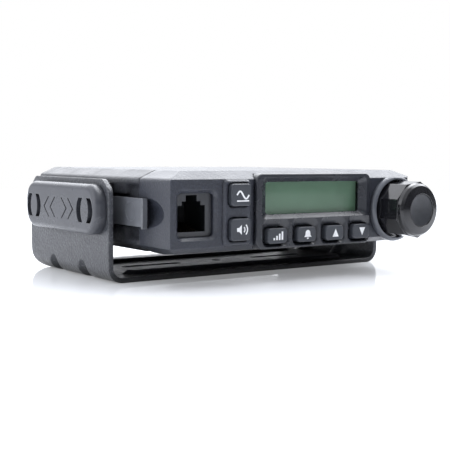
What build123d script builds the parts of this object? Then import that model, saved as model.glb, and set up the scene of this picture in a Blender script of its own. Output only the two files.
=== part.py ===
"""A small mobile transceiver held in a quick-release U bracket.

Millimetres. +X is to the right, +Y to the rear and +Z up, seen by someone facing the front panel.
The origin is the middle of the bracket's centre hole, on the underside of its base.
"""

from build123d import *
import os
from math import cos, radians, sin

os.makedirs("parts", exist_ok=True)

# ---- The set ----------------------------------------------------------------------------
BODY_W = 102.0
BODY_BASE = 10.6                    # front lower edge, above the surface the bracket stands on
KEEL = 9.6                          # the flat underside behind it
BODY_TOP = BODY_BASE + 25.0
HALF_W = BODY_W / 2
BEVEL_W = 6.0                       # width of the long bevels along both sides
TOP_BEVEL = 2.6                     # their height at the top
EDGE_R = 1.5                        # rounding of the edges of these bevels
LOW_BEVEL = 1.8                     # from the front lower edge up to the bottom one
FACE_Y = -48.3                      # front face of the front panel
SEAM_Y = FACE_Y + 17.8              # where the front panel meets the rear case
REAR_Y = FACE_Y + 90.2              # rear end of the case
SEAM_GAP = 0.3
TOP_FRONT_BEVEL = 3.9               # depth of the front panel's top and bottom front bevels
LOW_FRONT_BEVEL = 3.0
KEEL_START = 13.0                   # from the front face back to where the underside is flat
CORNER_BEVEL = 1.6                  # bevel on the front panel's upright corners
FRONT_WALL = 4.0
PANEL_WALL = 4.5
CASE_WALL = 3.8
CASE_ROOF = 2.4
LEDGE_TOP = KEEL + 3.6              # top of the ledges that carry the bottom cover
COVER_T = 1.8
SIDE_GROOVE = 1.6                   # depth of the groove the guide rail runs in
GROOVE_LOW, GROOVE_HIGH = 17.6, 28.0
LATCH_Z = 22.7                      # mid-height of the latches, grooves and rail covers

# ---- The bracket ------------------------------------------------------------------------
BRACKET_W = 117.0
SHEET = 1.6
BEND_R = 5.0
BASE_HALF = 24.75                   # half the depth of the base
ARM_REAR = 33.2
ARM_TOP = 32.6
ARM_X = BRACKET_W / 2
ARM_INNER = ARM_X - SHEET
HOLE_R = 1.7
SLOT_X, SLOT_L = 28.0, 24.0
RIB_Y, RIB_W, RIB_H, RIB_L = 15.3, 6.6, 1.2, 97.0
DART_Y, DART_R, DART_REACH = 10.7, 3.5, 4.24
DART_SHIFT = (ARM_REAR - BASE_HALF) / 2

# ---- Rail covers and guide rails ----------------------------------------------------------
PAD_Y, PAD_L, PAD_H, PAD_T, PAD_CORNER = 2.9, 52.6, 16.0, 4.0, 6.4
PAD_PORT = 19.0                     # from the pad's middle to each pair of curved slots
RAIL_SCREW_Y = (PAD_Y - 6.5, PAD_Y + 8.5)
RAIL_GAP = 0.3                      # between the rail and the set
RAIL_FRONT, RAIL_REAR = -14.3, 29.0
RAIL_LOW, RAIL_HIGH = 14.6, 31.4
RUNNER_H, RUNNER_REACH = 4.6, 1.1
SCREW_R = 1.25
SCREW_CLEAR = 0.03

# ---- Latches ------------------------------------------------------------------------------
TAB_T = 0.75
TAB_INNER = HALF_W + 0.45
TAB_FRONT = FACE_Y + 12.2
TAB_LOW, TAB_HIGH = 18.2, 27.0
LIP_REACH, LIP_T = 0.9, 0.9
DETENT_Y, DETENT_R, DETENT_H = FACE_Y + 21.0, 3.1, 0.9
PIVOT_Y, PIVOT_R, BARREL_R = FACE_Y + 38.0, 0.8, 1.75
PIVOT_X = TAB_INNER + BARREL_R

# ---- Front panel fittings -------------------------------------------------------------------
FRAME_X0, FRAME_X1, FRAME_Z0, FRAME_Z1 = -20.0, 29.5, BODY_BASE + 0.2, BODY_BASE + 24.1
FRAME_PROUD, FRAME_DEPTH, FRAME_CORNER = 1.5, 2.4, 2.6
GLASS_X0, GLASS_X1, GLASS_Z0, GLASS_Z1 = -15.5, 25.1, BODY_BASE + 11.15, BODY_BASE + 21.4
BEZEL_SIDE, BEZEL_END = 1.5, 2.5
SMALL_KEY_X, SMALL_KEY_PITCH, SMALL_KEY_Z = -12.25, 12.25, BODY_BASE + 4.4
SMALL_KEY_W, SMALL_KEY_H = 7.8, 4.9
LARGE_KEY_X, LARGE_KEY_W, LARGE_KEY_H = -26.7, 7.5, 6.9
MODE_KEY_Z, SQUELCH_KEY_Z = BODY_BASE + 17.6, BODY_BASE + 6.95
KEY_GAP = 0.4
RIDGE_X0, RIDGE_X1, RIDGE_PROUD = -32.2, -21.7, 1.0
JACK_X0, JACK_X1, JACK_Z0, JACK_Z1 = -48.9, -33.9, BODY_BASE + 4.0, BODY_BASE + 19.3
JACK_BEVEL = 1.0
PLUG_X, PLUG_W, PLUG_Z0, PLUG_Z1 = -42.15, 10.1, BODY_BASE + 6.6, BODY_BASE + 14.6
KNOB_X, KNOB_Z, KNOB_R = 42.2, BODY_BASE + 11.6, 9.9
KNOB_FRONT = FACE_Y - 13.5
KNOB_BACK = FACE_Y - 0.6
COLLAR_R, COLLAR_BORE = 11.5, 10.15
SHAFT_R = 3.0

# ---- Inside ---------------------------------------------------------------------------------
BOARD_T = 1.6
FRONT_BOARD_Y = FACE_Y + 9.3
PILLAR_X, PILLAR_Z = (-33.3, 31.2), BODY_BASE + 21.6
MAIN_BOARD_Z = BODY_BASE + 9.0
MAIN_BOARD_HALF = 43.0
MAIN_BOARD_Y0, MAIN_BOARD_Y1 = FACE_Y + 19.0, FACE_Y + 81.5
BOSS_X, BOSS_Y0, BOSS_Y1, BOSS_R = 41.5, -18.0, 26.0, 2.9
SINK_Y = FACE_Y + 83.9
SINK_T = 3.5
SPEAKER_Y, SPEAKER_R = 4.0, 19.5
ANTENNA_X, POWER_X, SOUND_X = 25.0, -26.0, 0.0
SOCKET_Z = BODY_BASE + 12.6


def front_plane(y):
    """A plane across the set at y, seen from the front: X to the right, Z up."""
    return Plane.XZ.offset(-y)


def side_plane(x):
    """A plane along the set at x: Y to the right, Z up. It faces +X."""
    return Plane.YZ.offset(x)


def level(z):
    """A level plane at height z."""
    return Plane.XY.offset(z)


def block(x0, x1, y0, y1, z0, z1, mode=Mode.ADD):
    """A box between two corners, added to or cut from the piece in hand."""
    with BuildSketch(level(z0)) as outline:
        with Locations(((x0 + x1) / 2, (y0 + y1) / 2)):
            Rectangle(x1 - x0, y1 - y0)
    extrude(outline.sketch, amount=z1 - z0, mode=mode)


def cylinder_y(x, z, radius, y0, y1, mode=Mode.ADD):
    """A round bar along Y from y0 back to y1, added to or cut from the piece in hand."""
    with BuildSketch(front_plane(y0)) as outline:
        with Locations((x, z)):
            Circle(radius)
    extrude(outline.sketch, amount=y0 - y1, mode=mode)


def cylinder_z(x, y, radius, z0, z1, mode=Mode.ADD):
    """An upright round bar from z0 to z1, added to or cut from the piece in hand."""
    with BuildSketch(level(z0)) as outline:
        with Locations((x, y)):
            Circle(radius)
    extrude(outline.sketch, amount=z1 - z0, mode=mode)


def cylinder_x(y, z, radius, x0, x1, mode=Mode.ADD):
    """A round bar along X from x0 to x1, added to or cut from the piece in hand."""
    with BuildSketch(side_plane(x0)) as outline:
        with Locations((y, z)):
            Circle(radius)
    extrude(outline.sketch, amount=x1 - x0, mode=mode)


def rounded_y(x0, x1, z0, z1, corner, y0, y1, mode=Mode.ADD, taper=0.0):
    """A round-cornered bar along Y from y0 to y1, narrowing by taper degrees as it goes."""
    with BuildSketch(front_plane(y0)) as outline:
        with Locations(((x0 + x1) / 2, (z0 + z1) / 2)):
            RectangleRounded(x1 - x0, z1 - z0, corner)
    extrude(outline.sketch, amount=y0 - y1, mode=mode, taper=taper)


def body_bar(y0, y1):
    """The set's eight-sided cross-section, run from y0 back to y1."""
    shoulder = HALF_W - BEVEL_W
    with BuildSketch(front_plane(y0)) as section:
        with BuildLine():
            Polyline(
                (-HALF_W, BODY_BASE + LOW_BEVEL),
                (-HALF_W, BODY_TOP - TOP_BEVEL),
                (-shoulder, BODY_TOP),
                (shoulder, BODY_TOP),
                (HALF_W, BODY_TOP - TOP_BEVEL),
                (HALF_W, BODY_BASE + LOW_BEVEL),
                (shoulder, KEEL),
                (-shoulder, KEEL),
                close=True,
            )
        make_face()
        upper = section.vertices().filter_by(lambda corner: corner.Y > BODY_TOP - TOP_BEVEL - 1)
        fillet(upper, EDGE_R)
    extrude(section.sketch, amount=y0 - y1)


def screw_z(x, y, head_z, length, radius, head_r, head_h, up):
    """A pan-head screw with a cross slot, its shank running up or down from under its head."""
    away = 1 if up else -1
    cylinder_z(x, y, radius, head_z, head_z + away * length)
    cylinder_z(x, y, head_r, head_z - away * head_h, head_z)
    slot = head_z - away * head_h
    for long, wide in ((head_r * 1.1, head_r * 0.28), (head_r * 0.28, head_r * 1.1)):
        block(
            x - long / 2, x + long / 2, y - wide / 2, y + wide / 2,
            min(slot, slot + away * head_h * 0.6), max(slot, slot + away * head_h * 0.6),
            mode=Mode.SUBTRACT,
        )


# ==== Bracket ================================================================================

# One sheet of steel bent up at both ends. Two long ribs stiffen its base, and two pressed darts
# stiffen each bend: a groove outside, a bump inside.
with BuildPart() as mounting_bracket:
    with BuildSketch(front_plane(-BASE_HALF)) as channel_filled:
        with Locations((0, ARM_TOP)):
            RectangleRounded(BRACKET_W, 2 * ARM_TOP, BEND_R)
    for side in (-1, 1):
        for dart_y in (DART_SHIFT - DART_Y, DART_SHIFT + DART_Y):
            corner = side * (ARM_X - (DART_REACH - DART_R) * sin(radians(45)))
            lift = (DART_REACH - DART_R) * sin(radians(45))
            with BuildSketch(Plane((corner, dart_y, lift), z_dir=(side, 0, 1))) as bump:
                Circle(DART_R + SHEET)
            extrude(bump.sketch, amount=2 * BEND_R, both=True)
    extrude(channel_filled.sketch, amount=-(ARM_REAR + BASE_HALF), mode=Mode.INTERSECT)
    with BuildSketch(front_plane(-BASE_HALF)) as channel:
        with Locations((0, ARM_TOP)):
            RectangleRounded(BRACKET_W, 2 * ARM_TOP, BEND_R)
            RectangleRounded(
                BRACKET_W - 2 * SHEET, 2 * (ARM_TOP - SHEET), BEND_R - SHEET, mode=Mode.SUBTRACT
            )
    extrude(channel.sketch, amount=-(ARM_REAR + BASE_HALF))
    with BuildSketch(level(SHEET)) as ribs:
        with Locations((0, -RIB_Y), (0, RIB_Y)):
            Polygon(
                (-RIB_L / 2, 0), (-RIB_L / 2 + RIB_W / 2, -RIB_W / 2),
                (RIB_L / 2 - RIB_W / 2, -RIB_W / 2), (RIB_L / 2, 0),
                (RIB_L / 2 - RIB_W / 2, RIB_W / 2), (-RIB_L / 2 + RIB_W / 2, RIB_W / 2),
            )
    extrude(ribs.sketch, amount=RIB_H, taper=50)
    extrude(ribs.sketch.moved(Location((0, 0, -SHEET))), amount=RIB_H, taper=50, mode=Mode.SUBTRACT)
    for side in (-1, 1):
        for dart_y in (DART_SHIFT - DART_Y, DART_SHIFT + DART_Y):
            corner = side * (ARM_X - (DART_REACH - DART_R) * sin(radians(45)))
            lift = (DART_REACH - DART_R) * sin(radians(45))
            with BuildSketch(Plane((corner, dart_y, lift), z_dir=(side, 0, 1))) as groove:
                Circle(DART_R)
            extrude(groove.sketch, amount=2 * BEND_R, both=True, mode=Mode.SUBTRACT)
    # Both arms reach further back than the base, with a round lower corner.
    with BuildSketch(side_plane(-BRACKET_W)) as outline:
        with BuildLine():
            Polyline(
                (BASE_HALF, 0), (-BASE_HALF, 0), (-BASE_HALF, ARM_TOP - 3.3),
                (-BASE_HALF + 4.2, ARM_TOP), (ARM_REAR - 4.2, ARM_TOP), (ARM_REAR, ARM_TOP - 3.6),
                (ARM_REAR, 7.75),
            )
            RadiusArc((ARM_REAR, 7.75), (BASE_HALF, 0), 8.1)
        make_face()
        fillet(outline.vertices().filter_by(lambda corner: corner.Y > ARM_TOP - 4), 3.0)
    extrude(outline.sketch, amount=2 * BRACKET_W, mode=Mode.INTERSECT)
    with BuildSketch(level(0)) as holes:
        Circle(HOLE_R)
        with Locations((-SLOT_X, 0), (SLOT_X, 0)):
            SlotOverall(SLOT_L, 2 * HOLE_R)
    extrude(holes.sketch, amount=SHEET, mode=Mode.SUBTRACT)
    for y in RAIL_SCREW_Y:
        cylinder_x(y, LATCH_Z, SCREW_R + 0.2, -BRACKET_W, BRACKET_W, Mode.SUBTRACT)

mounting_bracket.part.label = "mounting_bracket"
export_step(mounting_bracket.part, "parts/mounting_bracket.step")


def rail_cover(side):
    """The moulded oval cover outside one arm, with its curved slots and engraved arrowheads."""
    outer = ARM_X + PAD_T
    with BuildPart() as cover:
        with BuildSketch(side_plane(side * ARM_X)) as oval:
            with Locations((PAD_Y, LATCH_Z + 0.3)):
                RectangleRounded(PAD_L, PAD_H, PAD_CORNER)
        extrude(oval.sketch, amount=side * PAD_T)
        fillet(cover.faces().sort_by(Axis.X)[-1 if side > 0 else 0].edges(), 1.9)
        for port in (-PAD_PORT, PAD_PORT):
            for way in (-1, 1):
                with BuildSketch(side_plane(side * outer)) as slot:
                    with Locations((PAD_Y + port, LATCH_Z)):
                        Circle(5.5)
                    with Locations((PAD_Y + port - way * 3.7, LATCH_Z)):
                        Circle(6.3, mode=Mode.SUBTRACT)
                    with Locations((PAD_Y + port, LATCH_Z)):
                        Rectangle(12, 7.8, mode=Mode.INTERSECT)
                extrude(slot.sketch, amount=-side * 3.5, mode=Mode.SUBTRACT)
        with BuildSketch(side_plane(side * outer)) as arrows:
            for tip, way in ((11.0, -1), (6.2, -1), (-6.6, 1), (-11.3, 1)):
                with BuildLine():
                    Polyline(
                        (PAD_Y + tip + way * 3.6, LATCH_Z + 3.4),
                        (PAD_Y + tip, LATCH_Z),
                        (PAD_Y + tip + way * 3.6, LATCH_Z - 3.4),
                        (PAD_Y + tip + way * 4.2, LATCH_Z - 3.4),
                        (PAD_Y + tip + way * 0.7, LATCH_Z),
                        (PAD_Y + tip + way * 4.2, LATCH_Z + 3.4),
                        close=True,
                    )
                make_face()
        extrude(arrows.sketch, amount=-side * 0.4, mode=Mode.SUBTRACT)
        for y in RAIL_SCREW_Y:
            cylinder_x(
                y, LATCH_Z, SCREW_R + SCREW_CLEAR,
                side * ARM_X, side * (ARM_X + 2.9), Mode.SUBTRACT,
            )
    return cover


def guide_rail(side):
    """The moulded rail inside one arm: a runner for the set's groove and the latch's hinge ears."""
    inner = HALF_W + RAIL_GAP
    ear_front = PIVOT_Y - BARREL_R - 0.5
    low_x, high_x = sorted((side * inner, side * ARM_INNER))
    reach_low, reach_high = sorted((side * (inner - RUNNER_REACH), side * ARM_INNER))
    with BuildPart() as rail:
        block(low_x, high_x, RAIL_FRONT, RAIL_REAR, RAIL_LOW, RAIL_HIGH)
        block(
            reach_low, reach_high, PIVOT_Y + 4.0, RAIL_REAR,
            LATCH_Z - RUNNER_H / 2, LATCH_Z + RUNNER_H / 2,
        )
        # The latch swings in a pocket between two ears.
        block(
            low_x - 2, high_x + 2, ear_front - 5.0, PIVOT_Y + BARREL_R + 0.4,
            TAB_LOW - 0.3, TAB_HIGH + 0.3, mode=Mode.SUBTRACT,
        )
        cylinder_z(side * PIVOT_X, PIVOT_Y, PIVOT_R, RAIL_LOW + 0.8, RAIL_HIGH - 0.8, Mode.SUBTRACT)
        for y in RAIL_SCREW_Y:
            cylinder_x(
                y, LATCH_Z, SCREW_R + 0.1, side * (HALF_W - 3), side * ARM_INNER, Mode.SUBTRACT
            )
            cylinder_x(
                y, LATCH_Z, 2.35, side * (HALF_W - 3), side * (ARM_INNER - 3.2), Mode.SUBTRACT
            )
    return rail


def latch_lever(side):
    """One release latch: a thin pivoted tab with a turned-out lip and a pressed detent."""
    inner, outer = side * TAB_INNER, side * (TAB_INNER + TAB_T)
    lip = side * (TAB_INNER + TAB_T + LIP_REACH)
    with BuildPart() as lever:
        block(*sorted((inner, outer)), TAB_FRONT, PIVOT_Y, TAB_LOW, TAB_HIGH)
        block(*sorted((inner, lip)), TAB_FRONT, TAB_FRONT + LIP_T, TAB_LOW - 0.5, TAB_HIGH)
        cylinder_z(side * PIVOT_X, PIVOT_Y, BARREL_R, TAB_LOW, TAB_HIGH)
        with BuildSketch(side_plane(inner)) as detent:
            with Locations((DETENT_Y, LATCH_Z)):
                Circle(DETENT_R)
        extrude(detent.sketch, amount=-side * DETENT_H, taper=40)
        with BuildSketch(side_plane(outer)) as dimple:
            with Locations((DETENT_Y, LATCH_Z)):
                Circle(DETENT_R)
        extrude(dimple.sketch, amount=-side * 0.12, taper=60, mode=Mode.SUBTRACT)
        cylinder_z(side * PIVOT_X, PIVOT_Y, PIVOT_R + 0.04, TAB_LOW, TAB_HIGH, Mode.SUBTRACT)
    return lever


for name, side in (("left", -1), ("right", 1)):
    cover = rail_cover(side)
    cover.part.label = f"rail_cover_{name}"
    export_step(cover.part, f"parts/rail_cover_{name}.step")
    rail = guide_rail(side)
    rail.part.label = f"guide_rail_{name}"
    export_step(rail.part, f"parts/guide_rail_{name}.step")
    lever = latch_lever(side)
    lever.part.label = f"latch_lever_{name}"
    export_step(lever.part, f"parts/latch_lever_{name}.step")

with BuildPart() as latch_pins:
    for side in (-1, 1):
        cylinder_z(side * PIVOT_X, PIVOT_Y, PIVOT_R, RAIL_LOW + 0.8, RAIL_HIGH - 0.8)

latch_pins.part.label = "latch_pins"
export_step(latch_pins.part, "parts/latch_pins.step")

# Each screw clamps an arm between its guide rail and its rail cover.
with BuildPart() as rail_screws:
    for side in (-1, 1):
        for y in RAIL_SCREW_Y:
            seat = side * (ARM_INNER - 3.2)
            cylinder_x(y, LATCH_Z, SCREW_R, seat, side * (ARM_X + 2.6))
            cylinder_x(y, LATCH_Z, 2.25, seat - side * 1.5, seat)
            cylinder_x(y, LATCH_Z, 0.8, seat - side * 1.5, seat - side * 0.5, Mode.SUBTRACT)

rail_screws.part.label = "rail_screws"
export_step(rail_screws.part, "parts/rail_screws.step")

# ==== Rear case ==============================================================================

CAVITY_HALF = HALF_W - CASE_WALL
CAVITY_TOP = BODY_TOP - CASE_ROOF
COVER_Y0, COVER_Y1 = SEAM_Y + 6.5, FACE_Y + 83.0
COVER_HALF = 44.4
PANEL_SCREW_X, PANEL_SCREW_Y = 44.2, SEAM_Y + 3.2
SINK_SCREW_X = 43.6
SINK_SCREW_Z = (BODY_BASE + 6.3, BODY_BASE + 19.4)

with BuildPart() as rear_case:
    body_bar(SEAM_Y + SEAM_GAP / 2, REAR_Y)
    # The hollow, open to the front and the rear, then the opening for the bottom cover.
    block(-CAVITY_HALF, CAVITY_HALF, SEAM_Y, REAR_Y, LEDGE_TOP, CAVITY_TOP, Mode.SUBTRACT)
    block(
        -COVER_HALF + 2, COVER_HALF - 2, COVER_Y0 + 2, COVER_Y1 - 2,
        KEEL, LEDGE_TOP, Mode.SUBTRACT,
    )
    block(
        -COVER_HALF, COVER_HALF, COVER_Y0, COVER_Y1,
        KEEL, KEEL + COVER_T, Mode.SUBTRACT,
    )
    for x in (-BOSS_X, BOSS_X):
        for y in (BOSS_Y0, BOSS_Y1):
            cylinder_z(x, y, BOSS_R, KEEL + COVER_T, MAIN_BOARD_Z)
            cylinder_z(x, y, 1.03, KEEL + COVER_T, MAIN_BOARD_Z, Mode.SUBTRACT)
    for side in (-1, 1):
        for z in SINK_SCREW_Z:
            cylinder_y(side * SINK_SCREW_X, z, 2.4, SINK_Y - 8, SINK_Y)
            block(
                *sorted((side * SINK_SCREW_X, side * (CAVITY_HALF + 0.5))), SINK_Y - 8, SINK_Y,
                z - 1.2, z + 1.2,
            )
            cylinder_y(side * SINK_SCREW_X, z, 1.03, SINK_Y - 7, SINK_Y, Mode.SUBTRACT)
        screw_x = side * PANEL_SCREW_X
        cylinder_z(screw_x, PANEL_SCREW_Y, 1.15, KEEL, LEDGE_TOP, Mode.SUBTRACT)
        cylinder_z(screw_x, PANEL_SCREW_Y, 2.2, KEEL, KEEL + 1.7, Mode.SUBTRACT)
    # In each side, a pocket for the latch beside the seam and a groove for the rail behind it.
    for side in (-1, 1):
        floor = side * (HALF_W - SIDE_GROOVE)
        skin = side * (HALF_W + 1)
        block(*sorted((floor, skin)), SEAM_Y + 6, REAR_Y, GROOVE_LOW, GROOVE_HIGH, Mode.SUBTRACT)
        with BuildSketch(side_plane(side * (HALF_W - SIDE_GROOVE))) as pocket:
            with Locations((SEAM_Y + 1.1, LATCH_Z - 0.15)):
                RectangleRounded(14.4, 15.6, 2.8)
        extrude(pocket.sketch, amount=side * 2.4, taper=-32, mode=Mode.SUBTRACT)

rear_case.part.label = "rear_case"
export_step(rear_case.part, "parts/rear_case.step")

with BuildPart() as bottom_cover:
    block(
        -COVER_HALF + 0.15, COVER_HALF - 0.15, COVER_Y0 + 0.15, COVER_Y1 - 0.15,
        KEEL, KEEL + COVER_T - 0.02,
    )
    for row in range(-4, 5):
        half = (16.5**2 - (row * 3.6) ** 2) ** 0.5
        with BuildSketch(level(KEEL)) as vent:
            with Locations((0, SPEAKER_Y + row * 3.6)):
                SlotOverall(2 * half, 1.6)
        extrude(vent.sketch, amount=COVER_T, mode=Mode.SUBTRACT)
    for x in (-BOSS_X, BOSS_X):
        for y in (BOSS_Y0, BOSS_Y1):
            cylinder_z(x, y, 1.15, KEEL, KEEL + COVER_T, Mode.SUBTRACT)
            cylinder_z(x, y, 2.1, KEEL, KEEL + 1.0, Mode.SUBTRACT)

bottom_cover.part.label = "bottom_cover"
export_step(bottom_cover.part, "parts/bottom_cover.step")

with BuildPart() as bottom_cover_screws:
    for x in (-BOSS_X, BOSS_X):
        for y in (BOSS_Y0, BOSS_Y1):
            screw_z(x, y, KEEL + 1.0, 4.6, 1.0, 2.0, 0.9, up=True)

bottom_cover_screws.part.label = "bottom_cover_screws"
export_step(bottom_cover_screws.part, "parts/bottom_cover_screws.step")

with BuildPart() as front_panel_screws:
    for side in (-1, 1):
        screw_z(
            side * PANEL_SCREW_X, PANEL_SCREW_Y, KEEL + 1.7, 6.0, 1.0, 2.0, 1.3, up=True
        )

front_panel_screws.part.label = "front_panel_screws"
export_step(front_panel_screws.part, "parts/front_panel_screws.step")

# The heat sink closes the rear and carries the sockets on a flat between its fins.
with BuildPart() as heat_sink:
    block(
        -CAVITY_HALF + 0.15, CAVITY_HALF - 0.15, SINK_Y, SINK_Y + SINK_T,
        LEDGE_TOP + 0.1, CAVITY_TOP - 0.1,
    )
    for step in range(-16, 17):
        fin_x = step * 2.6
        clear_of_sockets = all(
            abs(fin_x - x) > reach
            for x, reach in ((ANTENNA_X, 11.2), (POWER_X, 10.2), (SOUND_X, 5.6))
        )
        if clear_of_sockets and abs(fin_x) < SINK_SCREW_X - 3.0:
            block(
                fin_x - 0.6, fin_x + 0.6, SINK_Y + SINK_T, REAR_Y - 0.2,
                LEDGE_TOP + 0.4, CAVITY_TOP - 0.4,
            )
    cylinder_y(ANTENNA_X, SOCKET_Z, 7.0, SINK_Y, SINK_Y + SINK_T, Mode.SUBTRACT)
    block(
        POWER_X - 6.5, POWER_X + 6.5, SINK_Y, SINK_Y + SINK_T, SOCKET_Z - 4.5, SOCKET_Z + 4.5,
        Mode.SUBTRACT,
    )
    cylinder_y(SOUND_X, SOCKET_Z, 3.1, SINK_Y, SINK_Y + SINK_T, Mode.SUBTRACT)
    for x in (-SINK_SCREW_X, SINK_SCREW_X):
        for z in SINK_SCREW_Z:
            cylinder_y(x, z, 1.15, SINK_Y, SINK_Y + SINK_T, Mode.SUBTRACT)

heat_sink.part.label = "heat_sink"
export_step(heat_sink.part, "parts/heat_sink.step")

with BuildPart() as heat_sink_screws:
    for x in (-SINK_SCREW_X, SINK_SCREW_X):
        for z in SINK_SCREW_Z:
            cylinder_y(x, z, 1.0, SINK_Y - 5, SINK_Y + SINK_T)
            cylinder_y(x, z, 2.1, SINK_Y + SINK_T, SINK_Y + SINK_T + 1.5)
            block(
                x - 1.3, x + 1.3, SINK_Y + SINK_T + 0.7, SINK_Y + SINK_T + 1.5, z - 0.3, z + 0.3,
                Mode.SUBTRACT,
            )
            block(
                x - 0.3, x + 0.3, SINK_Y + SINK_T + 0.7, SINK_Y + SINK_T + 1.5, z - 1.3, z + 1.3,
                Mode.SUBTRACT,
            )

heat_sink_screws.part.label = "heat_sink_screws"
export_step(heat_sink_screws.part, "parts/heat_sink_screws.step")

# ==== Front panel ============================================================================

PANEL_REAR = SEAM_Y - SEAM_GAP / 2
SCOOP_MIDDLE = (HALF_W + 9.6, FACE_Y + 13.2, LATCH_Z - 0.1)

# A shallow bowl in each side, in front of the latch's lip, lets a fingertip reach the lip. Each
# is cut with a stretched ball whose middle lies well outside the panel.
with BuildPart() as scoop:
    Sphere(1.0)
    scale(by=(12.0, 16.2, 7.4))

with BuildPart() as front_panel:
    body_bar(FACE_Y, PANEL_REAR)
    with BuildSketch(side_plane(-BODY_W)) as side_outline:
        with BuildLine():
            Polyline(
                (FACE_Y, BODY_BASE + LOW_BEVEL), (FACE_Y, BODY_TOP - TOP_BEVEL),
                (FACE_Y + TOP_FRONT_BEVEL, BODY_TOP), (PANEL_REAR, BODY_TOP),
                (PANEL_REAR, KEEL), (FACE_Y + KEEL_START, KEEL),
                (FACE_Y + LOW_FRONT_BEVEL, BODY_BASE),
                close=True,
            )
        make_face()
    extrude(side_outline.sketch, amount=2 * BODY_W, mode=Mode.INTERSECT)
    with BuildSketch(level(0)) as top_outline:
        with Locations((0, (FACE_Y + PANEL_REAR) / 2)):
            Rectangle(BODY_W, PANEL_REAR - FACE_Y)
        chamfer(top_outline.vertices().group_by(Axis.Y)[0], CORNER_BEVEL)
        fillet(top_outline.vertices().filter_by(lambda corner: corner.Y < PANEL_REAR - 1), EDGE_R)
    extrude(top_outline.sketch, amount=2 * BODY_TOP, both=True, mode=Mode.INTERSECT)
    # The raised strip that carries the two large keys.
    rounded_y(
        RIDGE_X0, RIDGE_X1, BODY_BASE + 1.9, BODY_TOP - 2.7, 1.6,
        FACE_Y + 1.0, FACE_Y - RIDGE_PROUD,
    )
    chamfer(front_panel.faces().sort_by(Axis.Y)[0].edges(), 0.6)
    # The hollow behind the front wall, wider beside the microphone socket.
    block(
        -HALF_W + PANEL_WALL, HALF_W - PANEL_WALL, FACE_Y + FRONT_WALL, PANEL_REAR,
        BODY_BASE + 1.5, BODY_TOP - 1.8, Mode.SUBTRACT,
    )
    block(
        JACK_X0 + 0.9, JACK_X1 - 0.8, FACE_Y + FRONT_WALL, PANEL_REAR - 1.5,
        JACK_Z0 + 0.9, JACK_Z1 - 0.8, Mode.SUBTRACT,
    )
    # Tongues that enter the case, each with a block for a screw.
    for side in (-1, 1):
        block(
            *sorted((side * (CAVITY_HALF - 1.6), side * (CAVITY_HALF - 0.15))),
            PANEL_REAR - 1.4, SEAM_Y + 5.5, LEDGE_TOP + 0.1, CAVITY_TOP - 0.6,
        )
        block(
            *sorted((side * (PANEL_SCREW_X - 2.2), side * (CAVITY_HALF - 0.15))),
            PANEL_REAR - 1.4, SEAM_Y + 5.5, LEDGE_TOP + 0.1, MAIN_BOARD_Z - 0.6,
        )
        cylinder_z(
            side * PANEL_SCREW_X, PANEL_SCREW_Y, 1.03, LEDGE_TOP, MAIN_BOARD_Z, Mode.SUBTRACT
        )
    # Finger recesses in both sides, in front of the latch lips.
    for side in (-1, 1):
        add(
            scoop.part.moved(Location((side * SCOOP_MIDDLE[0], *SCOOP_MIDDLE[1:]))),
            mode=Mode.SUBTRACT,
        )
    # The microphone socket's bevelled recess and the clearance round its housing.
    rounded_y(
        JACK_X0, JACK_X1, JACK_Z0, JACK_Z1, 2.4, FACE_Y, FACE_Y + JACK_BEVEL, Mode.SUBTRACT,
        taper=45,
    )
    rounded_y(
        JACK_X0 + JACK_BEVEL, JACK_X1 - JACK_BEVEL, JACK_Z0 + JACK_BEVEL, JACK_Z1 - JACK_BEVEL,
        1.4, FACE_Y, FACE_Y + FRONT_WALL, Mode.SUBTRACT,
    )
    # The seat of the display frame, and the window behind it for the display and its keys.
    rounded_y(
        FRAME_X0 - 0.1, FRAME_X1 + 0.1, FRAME_Z0 - 0.1, FRAME_Z1 + 0.1, FRAME_CORNER,
        FACE_Y - 2, FACE_Y + FRAME_DEPTH, Mode.SUBTRACT,
    )
    rounded_y(
        FRAME_X0 + 1.2, FRAME_X1 - 1.2, FRAME_Z0 + 1.3, FRAME_Z1 - 0.9, 1.0,
        FACE_Y, FACE_Y + FRONT_WALL, Mode.SUBTRACT,
    )
    rounded_y(
        FRAME_X0 + 1.2, FRAME_X1 + 0.1, FRAME_Z0 + 1.3, SMALL_KEY_Z + 4.4, 0.6,
        FACE_Y, FACE_Y + FRONT_WALL, Mode.SUBTRACT,
    )
    for key_z in (MODE_KEY_Z, SQUELCH_KEY_Z):
        rounded_y(
            LARGE_KEY_X - LARGE_KEY_W / 2 - KEY_GAP, LARGE_KEY_X + LARGE_KEY_W / 2 + KEY_GAP,
            key_z - LARGE_KEY_H / 2 - KEY_GAP, key_z + LARGE_KEY_H / 2 + KEY_GAP, 1.7,
            FACE_Y - 2, FACE_Y + FRONT_WALL, Mode.SUBTRACT,
        )
    cylinder_y(KNOB_X, KNOB_Z, 3.6, FACE_Y, FACE_Y + FRONT_WALL, Mode.SUBTRACT)
    cylinder_y(KNOB_X, KNOB_Z, 7.0, FACE_Y, FACE_Y + 1.2, Mode.SUBTRACT)
    # Pillars for the two screws that hold the key board.
    for x in PILLAR_X:
        cylinder_y(x, PILLAR_Z, 1.6, FACE_Y + FRONT_WALL - 0.5, FRONT_BOARD_Y)
        cylinder_y(x, PILLAR_Z, 0.83, FACE_Y + FRONT_WALL, FRONT_BOARD_Y, Mode.SUBTRACT)

front_panel.part.label = "front_panel"
export_step(front_panel.part, "parts/front_panel.step")

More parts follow.
